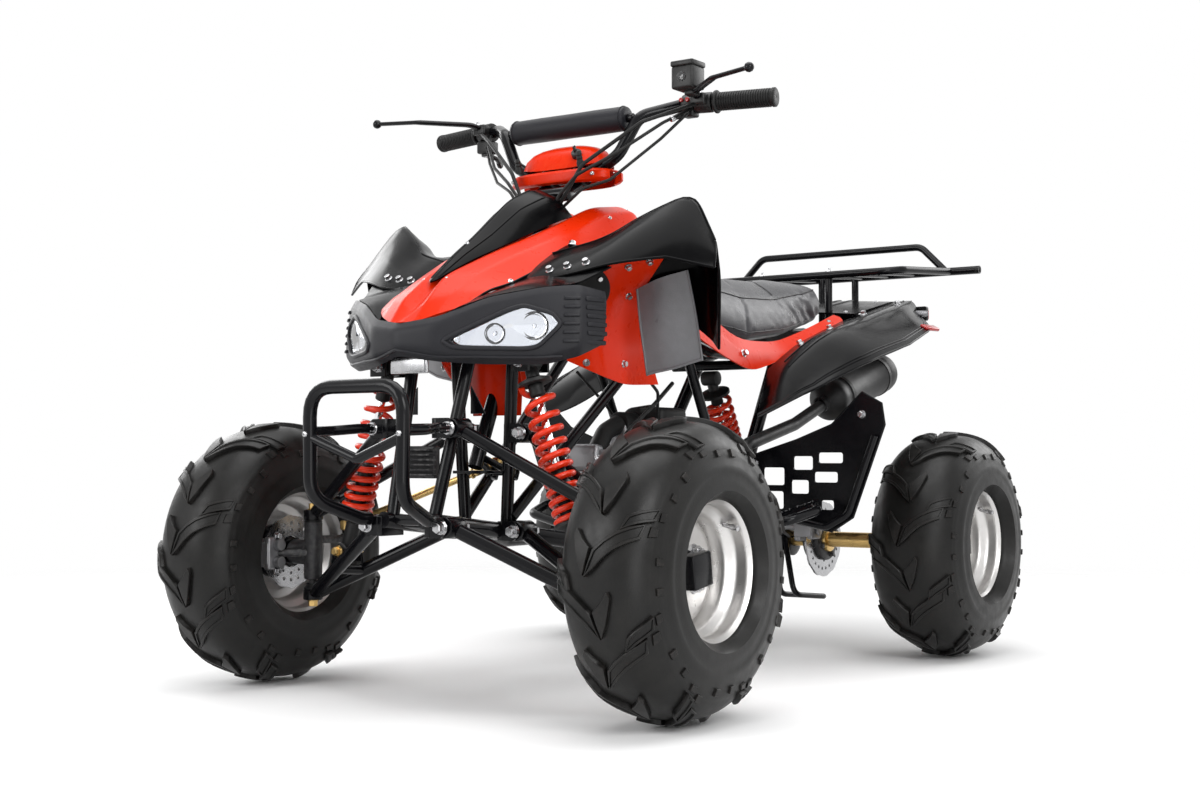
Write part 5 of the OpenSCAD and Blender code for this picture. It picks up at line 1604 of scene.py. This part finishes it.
def make_pad():
    """The cross bar's foam pad, in a sewn cover with its closing strip behind."""
    loops = []
    for x, r in ((-126, 9), (-126, 17), (-124, 21), (-118, 22.6), (-60, 23), (0, 22.6), (60, 23),
            (118, 22.6), (124, 21), (126, 17), (126, 9)):
        loops.append([spot(x, 312 + r * math.cos(a),
                    1000 + r * math.sin(a) * (0.97 if abs(x) < 120 else 1)) for a in
                (math.tau * k / 28 for k in range(28))])
    pad = loft(loops)
    skin = Skin(pad)
    seams = [([tuple((x, 312 + 22.9 * math.cos(a), 1000 + 22.4 * math.sin(a)))
               for a in (math.tau * k / 24 for k in range(25))], 1.8, 0)
        for x in (-119, 119)]
    seams.append((skin.line([(-118, 336, 1004), (0, 336, 1004), (118, 336, 1004)], 0.1), 2, 0))
    seams.append((skin.line([(-118, 330, 986), (0, 330, 986), (118, 330, 986)], 0.1), 2, 0))
    obj = piece("bar_pad_look", pad, "steering", "pad cover", "bar_pad", smooth=50)
    piece("bar_pad_seams", tubes(*seams, sides=2), "steering", "pad cover")
    piece("bar_pad_rod", tubes(([(-138.3, 312, 1000), (138.3, 312, 1000)], 15.6, 0)), "steering",
        "black paint")


def make_grips():
    rubber = []
    for side in BOTH:
        start, stop = Vector(sided(side, on_bar(266))), Vector(sided(side, on_bar(378)))
        axis, long = (stop - start).normalized(), (stop - start).length
        profile = [(11.3, 0), (19.5, 0), (20.4, 1.5), (20.4, 4), (19, 5.6), (15.2, 6.5)]
        h = 8.0
        while h < long - 10:
            profile += [(15.0, h), (16.5, h + 0.8), (16.5, h + 2.6), (15.0, h + 3.4)]
            h += 4.6
        profile += [(15.2, long - 8), (17.0, long - 6), (17.0, long - 1.5), (15.4, long - 0.2), (4, long),
            (0.01, long - 1)]
        rubber.append(ring(tuple(start), tuple(axis), profile, 40))
    piece("grips_look", join(*rubber), "steering", "soft rubber", "grips", smooth=50)


def lever(side):
    """A brake lever: a cast blade, tapered and swept forward, with its ball."""
    root = Vector(sided(side, on_bar(246)))
    path = [root + Vector((0, -15, 4)), root + Vector((side * 4, -44, 10)), Vector((side * 330, 268, 1038)),
        Vector((side * 412, 245, 1040))]
    loops = []
    dense = bent([p * MM for p in path], 30, 5)
    for k, here in enumerate(dense):
        ahead = (dense[min(k + 1, len(dense) - 1)] - dense[max(k - 1, 0)]).normalized()
        flat = ahead.cross(Vector((0, 0, 1))).normalized()
        rise = flat.cross(ahead)
        share = k / (len(dense) - 1)
        wide, thick = (8.5 - 3.2 * share) * MM, (5.6 - 1.8 * share) * MM
        loops.append([here + Vector((0, -MIDDLE_Y * MM, 0)) + flat * wide * math.cos(a)
                + rise * thick * math.sin(a)
                for a in (math.tau * j / 14 for j in range(14))])
    ball = ring(tuple(path[-1]), (1, 0, 0), [(0.01, -8.6), (4.4, -7.4), (7.4, -4.4), (8.6, 0), (7.4, 4.4),
            (4.4, 7.4), (0.01, 8.6)], 24)
    return loft(loops), ball


def make_controls():
    parts, alloy, small, glass = [], [], [], []
    for side in BOTH:
        parts.append(along_bar(side, 230, 262, 36, 2.5))
        parts.append(block(tuple(Vector(sided(side, on_bar(246))) + Vector((0, -18, 3))), (30, 22, 20), 4))
        small.append(bolt(tuple(Vector(sided(side, on_bar(246))) + Vector((side * 4, -26, 13))), (0, 0, 1),
                9))
        small += [bolt(tuple(Vector(sided(side, on_bar(x))) + Vector((0, 13, 13))), (0, 0.6, 0.8), 6)
            for x in (237, 255)]
        blade, ball = lever(side)
        alloy += [blade, ball]
    parts.append(block((248, 318, 1056), (44, 42, 40), 4))
    parts.append(block((248, 318, 1080), (46, 45, 10), 3))
    parts.append(block((248, 332, 1036), (22, 22, 16), 4))
    small += [button((248 + s * 15, 318, 1085), (0, 0, 1), 6) for s in BOTH]
    glass.append(ring((248, 296.6, 1056), (0, -1, 0), [(0.01, 1.6), (7, 1.4), (9, 0.6), (9, -1)], 24))
    # Thumb throttle under the right bar, and the switch block with its choke lever on the left
    box = Vector(sided(-1, on_bar(246))) + Vector((0, 0, -28))
    parts.append(block(tuple(box), (32, 30, 24), 4))
    parts.append(drum(tuple(box + Vector((0, 0, -12))), tuple(box + Vector((0, 0, -17))), 24, 1.5))
    parts.append(tubes(([tuple(box + Vector((0, 4, -14))), tuple(box + Vector((4, 22, -18))),
                    tuple(box + Vector((-6, 44, -22)))], 9, 12)))
    parts.append(ring(tuple(box + Vector((-8, 48, -23))), (1, 0.3, 0.2),
            [(0.01, -5), (8, -4), (10, 0), (8, 4), (0.01, 5)], 20))
    small.append(button(tuple(box + Vector((0, 0, -17))), (0, 0, -1), 9))
    parts.append(along_bar(1, 206, 228, 34, 3))
    parts.append(block(tuple(Vector(on_bar(217)) + Vector((0, 2, -16))), (26, 24, 16), 4))
    parts.append(tubes(([tuple(Vector(on_bar(217)) + Vector((0, -10, -22))),
                    tuple(Vector(on_bar(217)) + Vector((-10, -34, -30)))], 7, 0)))
    small.append(drum(tuple(Vector(on_bar(217)) + Vector((-10, -34, -30))),
            tuple(Vector(on_bar(217)) + Vector((-13, -42, -33))), 10, 1))
    buttons = [drum(tuple(Vector(on_bar(x)) + Vector((0, -15, 4))),
            tuple(Vector(on_bar(x)) + Vector((0, -20, 5))), 8, 1) for x in (211, 223)]
    piece("brake_controls_look", join(*parts), "steering", "control black", "brake_controls")
    piece("brake_levers", join(*alloy), "steering", "black paint")
    piece("control_screws", join(*small), "steering", "bright zinc")
    piece("control_buttons", join(*buttons), "steering", "red lens")
    piece("reservoir_sight_glass", join(*glass), "steering", "clear lens")


def pod_section(z, half_x, half_y, shift):
    """One level of the pod: a long oval with square-ish ends."""
    points = []
    for k in range(40):
        a = math.tau * k / 40
        c, s = math.cos(a), math.sin(a)
        across = math.copysign(abs(c) ** 0.62, c) * half_x
        points.append(spot(across, 302 + shift + math.copysign(abs(s) ** 0.75, s) * half_y, z))
    return points


def make_pod():
    levels = ((886, 98, 46, 0), (889, 106, 51, 0), (893, 111, 52, 0), (905, 110, 52, 1), (909, 105, 50, 2),
        (911, 93, 45, 3), (936, 85, 41, 6),
        (948, 74, 35, 9), (955, 60, 27, 11), (960, 38, 17, 12))
    form = loft([pod_section(*level) for level in levels])
    hollow = loft([pod_section(*level) for level in ((880, 94, 42, 0), (905, 100, 46, 1), (935, 82, 38, 6),
            (948, 56, 28, 10))])
    bar_path = [block((k * 104, 300, 878), (64, 34, 56), 2) for k in BOTH]
    shell = cut(form, hollow, *bar_path)
    piece("instrument_pod_look", shell, "steering", "orange plastic", "instrument_pod", smooth=32)
    key = [ring((46, 268, 938), (0.3, -0.8, 0.6), [(0.01, 6), (8, 6), (9.5, 4), (9.5, -4)], 24),
        block((46, 262, 946), (3, 8, 12), 1, Matrix.Rotation(0.6, 4, "X"), 2)]
    piece("pod_key_switch", join(*key), "steering", "control black")
    lights = [ring((x, 343, 926), (0, 1, 0.25), [(0.01, 4), (3.2, 3.4), (4.2, 1.6), (4.2, -3)], 16)
        for x in (-14, 0, 14)]
    piece("pod_lights", join(*lights), "steering", "red lens")
    heads = [button((k * 88, 256, 898), (0, -1, 0), 8) for k in BOTH]
    piece("pod_screws", join(*heads), "steering", "bright zinc")
    boots = [ring((k * 68, 250, 912), (0, -0.3, 1),
            [(3.6, 26), (4.4, 24), (5.4, 20), (4.6, 18), (5.8, 14), (5, 12), (6.6, 6), (7, 0)], 20)
        for k in BOTH]
    piece("cable_boots", join(*boots), "steering", "soft rubber")


def make_cables():
    """Brake and throttle cables from the bars down into the steering cover."""
    runs = []
    for side in BOTH:
        x, y, z = sided(side, on_bar(246))
        runs.append(([(x, y - 21, z - 3), (side * 170, 290, 985), (side * 78, 240, 912),
                    (side * 54, 232, 870), (side * 38, 222, 836)], 7, 30))
        runs.append(([(side * 226, y - 14, z - 10), (side * 196, 318, 985), (side * 136, 262, 930),
                    (side * 76, 226, 892), (side * 44, 218, 858),
                    (side * 30, 218, 832)], 6, 34))
    runs.append(([(-238, 366, 996), (-186, 310, 950), (-120, 250, 900), (-60, 214, 872), (-36, 212, 834)],
            5.5, 34))
    runs.append(([(226, 352, 1004), (184, 330, 960), (122, 262, 884), (84, 232, 868), (48, 222, 836)], 5.5,
            30))
    obj = put("cables", tubes(*runs, sides=3))
    obj.data.shade_smooth()
    obj.data.materials.append(FINISH["soft rubber"])
    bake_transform(obj)
    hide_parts("control_cables")


def make_tie_rods():
    for side, name in ((1, "left"), (-1, "right")):
        a = Vector((22, 117.9, 370.6))
        inner = a + STEM_AXIS * 19
        outer = Vector((325, 74, 277))
        aim = (outer - inner).normalized()

        def s(p, side=side):
            return sided(side, tuple(p))
        rods = [drum(s(inner + aim * 40), s(outer - aim * 40), 12.5, 0.8)]
        for p, k in ((inner, 1), (outer, -1)):
            rods.append(drum(s(p + aim * k * 12), s(p + aim * k * 44), 15, 1.5, 6))
            rods.append(drum(s(p + aim * k * 46), s(p + aim * k * 52), 18, 0.8, 6))
        rods.append(drum(s(a + STEM_AXIS * 9), s(a + STEM_AXIS * 28), 21.5, 2.5))
        rods.append(drum(s((325, 74, 268.6)), s((325, 74, 286)), 21.5, 3))
        piece("tie_rod_" + name + "_look", join(*rods), "tie_rod_" + name, "yellow zinc", "tie_rod_" + name)


# ---- engine, exhaust and footrests ----
def make_engine():
    """A single-cylinder engine: crankcase, side covers, a finned barrel, its head and carburettor."""
    cases = [block((0, 590, 332), (140, 190, 146), 16, None, 5),
        block((0, 560, 300), (152, 120, 80), 14, None, 4), block((0, 648, 300), (110, 80, 84), 18, None, 4),
        block((0, 505, 350), (118, 60, 100), 14, None, 4)]
    covers, fins, darks, bolts = [], [], [], []
    for side in BOTH:
        for (y, z), r in (((560, 318), 62), ((640, 330), 42)):
            x = 62 if r > 50 else 58
            covers.append(ring((side * x, y, z), (side, 0, 0),
                    [(0.01, 16), (r * 0.3, 16), (r * 0.36, 13), (r * 0.8, 12), (r * 0.92, 9), (r, 4),
                     (r, -8)], 48))
            for k in range(7):
                a = math.tau * (k + 0.3) / 7
                bolts.append(bolt((side * (x + 5), y + math.cos(a) * r * 0.94, z + math.sin(a) * r * 0.94),
                        (side, 0, 0), 7))
        for k in range(5):
            covers.append(block((side * 74, 560, 318 + (k - 2) * 10), (5, 60 - abs(k - 2) * 10, 2.4), 1,
                    None, 1))
    axis = Vector((0, -1, 0.16)).normalized()
    turn = toward(axis)
    for k in range(9):
        base = Vector((-6, 486, 352)) + axis * (k * 9.5)
        fins.append(block(tuple(base), (112 - (k % 2) * 3, 104, 3), 1.2, turn, 1))
    cases.append(block(tuple(Vector((-6, 450, 357))), (84, 80, 82), 10, turn))
    cases.append(block(tuple(Vector((-6, 382, 366))), (96, 92, 46), 9, turn, 4))
    cases.append(block(tuple(Vector((-6, 368, 398))), (64, 50, 26), 8, turn, 4))
    bolts += [bolt((-6 + a, 357, 366 + b), (0, -1, 0.16), 9) for a in (-36, 36) for b in (-32, 32)]
    darks.append(block((30, 566, 452), (66, 92, 84), 12, None, 4))
    darks.append(tubes(([(-6, 400, 408), (-6, 430, 446), (-4, 470, 462)], 34, 30), sides=7))
    darks.append(drum((-4, 470, 462), (-4, 520, 462), 46, 3))
    darks.append(drum((-4, 520, 462), (-4, 590, 470), 64, 8))
    cases.append(block((-4, 486, 440), (40, 40, 46), 8, None, 4))
    cases.append(drum((-46, 612, 392), (-46, 612, 428), 52, 4, 40))
    piece("engine_cases", join(*cases), "chassis", "cast alloy", "engine", smooth=32)
    piece("engine_covers", join(*covers), "chassis", "cast alloy", smooth=30)
    piece("engine_fins", join(*fins), "chassis", "cast alloy")
    piece("engine_intake", join(*darks), "chassis", "soft rubber", smooth=40)
    piece("engine_bolts", join(*bolts), "chassis", "bright zinc")
    lead = tubes(([(40, 372, 400), (70, 400, 450), (74, 480, 500), (60, 560, 540)], 8, 40),
        ([(-62, 600, 430), (-80, 540, 500), (-70, 430, 560)], 6, 30),
        ([(52, 520, 470), (86, 470, 520), (80, 360, 600)], 6, 30))
    piece("engine_leads", lead, "chassis", "soft rubber")


def make_exhaust():
    axis = Vector((0, 279, 77)).normalized()
    foot = Vector((150, 1010, 513))
    pipe = [(20, 353.6, 340), (20, 322, 340), (60, 316, 214), (140, 400, 214), (146, 560, 345),
        (150, 690, 424), (150, 880, 466), tuple(foot + axis * 20)]
    parts = [tubes((pipe, 26, 40), ([(136, 1130, 576), (112, 1130, 640), (99.8, 1130, 664)], 9, 10),
            sides=7)]
    parts.append(ring(tuple(foot), tuple(axis),
            [(13, -4), (20, 0), (40, 12), (43.4, 18), (43.8, 24), (43.8, 40), (43.2, 41),
                (43.2, 238), (43.8, 239), (43.8, 268),
                (42, 278), (34, 286), (16, 290), (15, 311), (12, 311),
                (12, 270), (0.01, 270)], 56))
    for h in (52, 232):
        parts.append(ring(tuple(foot), tuple(axis), [(43, h), (45, h + 1), (45, h + 11), (43, h + 12)], 56))
    parts.append(ring(tuple(foot), tuple(axis), [(13.4, -22), (17, -20), (17, -8), (13.4, -6)], 28))
    piece("exhaust_look", join(*parts), "chassis", "hot black", "exhaust", smooth=34)
    small = [bolt((99.8, 1130, 655), (1, 0, 0), 11), bolt((138, 1130, 590), (1, 0, 0.2), 10)]
    for k in range(6):
        a = math.tau * k / 6
        u = axis.cross(Vector((1, 0, 0)))
        rim = foot + axis * 284 + (Vector((1, 0, 0)) * math.cos(a) + u * math.sin(a)) * 30
        small.append(button(tuple(rim), tuple(axis), 7))
    piece("exhaust_fixings", join(*small), "chassis", "bright zinc")


HEEL_PLATE = [(124, 399), (150, 407), (232, 432), (308, 461), (372, 522), (412, 500), (418, 460),
    (352, 286), (307, 258), (190, 280), (124, 300)]
HEEL_SLOTS = [(183, 362, 46, 34), (247, 388, 42, 26), (306, 398, 52, 20), (183, 316, 42, 34),
    (240, 342, 38, 26), (296, 361, 50, 20),
    (244, 288, 26, 18), (299, 308, 27, 18)]


def make_feet():
    bars, plates, rubbers, bolts = [], [], [], []
    for side in BOTH:
        def s(points, side=side):
            return [sided(side, p) for p in points]
        bars.append(tubes((s([(117.9, 664, 252), (150, 664, 252), (300, 690, 306)]), 26, 30),
                (s([(117.9, 560, 252), (150, 560, 252), (300, 590, 284), (318, 660, 300),
                            (290, 690, 306)]), 18, 26), sides=7))
        for k in range(9):
            p = Vector(mix((176, 668, 262), (296, 689, 304), k / 8))
            rubbers.append(block(sided(side, tuple(p + Vector((0, 0, 12)))), (5, 26, 5), 1.2,
                    Matrix.Rotation(-side * 0.35, 4, "Y"), 1))
        body = prism([(side * x, z) for x, z in HEEL_PLATE], 734, 738)
        slots = [block((side * x, 736, z), (w, 20, h), 4, None, 2) for x, z, w, h in HEEL_SLOTS]
        plates.append(cut(body, *slots))
        plates.append(tubes((s([(200, 680, 272), (206, 726.6, 284), (300, 726.6, 266), (346, 726.6, 292),
                (402, 726.6, 440)]), 14, 24)))
        edge = [(x, 736, z) for x, z in HEEL_PLATE]
        plates.append(tubes((s(edge + edge[:1]), 5, 0), sides=2))
        bolts += [bolt((side * x, 733.6, z), (0, -1, 0), 12) for x,
            z in ((140, 388), (140, 316), (372, 480))]
    piece("footrests_look", join(*bars), "chassis", "black paint", "footrests")
    piece("footrest_treads", join(*rubbers), "chassis", "black paint")
    piece("heel_guards_look", join(*plates), "chassis", "black paint", "heel_guards", smooth=30)
    piece("heel_guard_bolts", join(*bolts), "chassis", "bright zinc")


def make_front_trim():
    """What shows between the bumper and the lamps: brow, regulator, blank tag, shroud and belly guard."""
    brows = []
    rows = [[(64, -125, 622), (78, -116, 629), (90, -110, 636)],
        [(95, -70, 653), (115, -72, 658), (131, -80, 654)],
        [(104, -10, 676), (150, -24, 677), (200, -30, 669)],
        [(109, 40, 694), (160, 38, 694), (228, 14, 674)],
        [(112, 66, 712), (180, 66, 714), (258, 70, 706)]]
    for side in BOTH:
        brows.append(walled(surface(rows if side > 0 else mirrored(rows), (side * 150, 60, 560), 0.8, 0.7),
                3))
    piece("brow", join(*brows), "chassis", "black plastic", smooth=34)
    fins = [block((-6, -96, 372 + k * 8), (66, 20, 3), 1, None, 1) for k in range(6)]
    piece("regulator", join(block((-6, -84, 392), (64, 16, 52), 3), *fins), "chassis", "dark cast")
    piece("blank_tag", join(block((0, -126, 548), (70, 2, 24), 0.8), block((0, -122, 548), (78, 5, 30), 2)),
        "chassis", "bright zinc")
    shroud = [[(-52, 100, 470), (0, 84, 470), (52, 100, 470)],
        [(-58, 96, 520), (0, 78, 520), (58, 96, 520)], [(-54, 90, 566), (0, 72, 570), (54, 90, 566)]]
    piece("front_shroud", surface(shroud, (0, 300, 520), 0.8, 0.6), "chassis", "orange plastic", wall=3,
        bevel=0.8)
    guard = [[(-40, -100, 288), (0, -100, 287), (40, -100, 288)],
        [(-42, 0, 270), (0, 0, 268), (42, 0, 270)], [(-42, 110, 260), (0, 110, 258), (42, 110, 260)]]
    piece("belly_guard", surface(guard, (0, 0, 400), 0.8, 0.6), "chassis", "dark cast", wall=3, bevel=0.6)
    tray = [[(-86, 800, 628), (0, 800, 628), (86, 800, 628)],
        [(-86, 1000, 646), (0, 1000, 646), (86, 1000, 646)],
        [(-80, 1110, 672), (0, 1110, 672), (80, 1110, 672)]]
    piece("under_tray", surface(tray, (0, 900, 700), 0.6, 0.6), "chassis", "grained plastic", wall=3,
        bevel=0.6)


make_steering()
make_pad()
make_grips()
make_controls()
make_pod()
make_cables()
make_tie_rods()
make_engine()
make_exhaust()
make_feet()
make_front_trim()


studio()
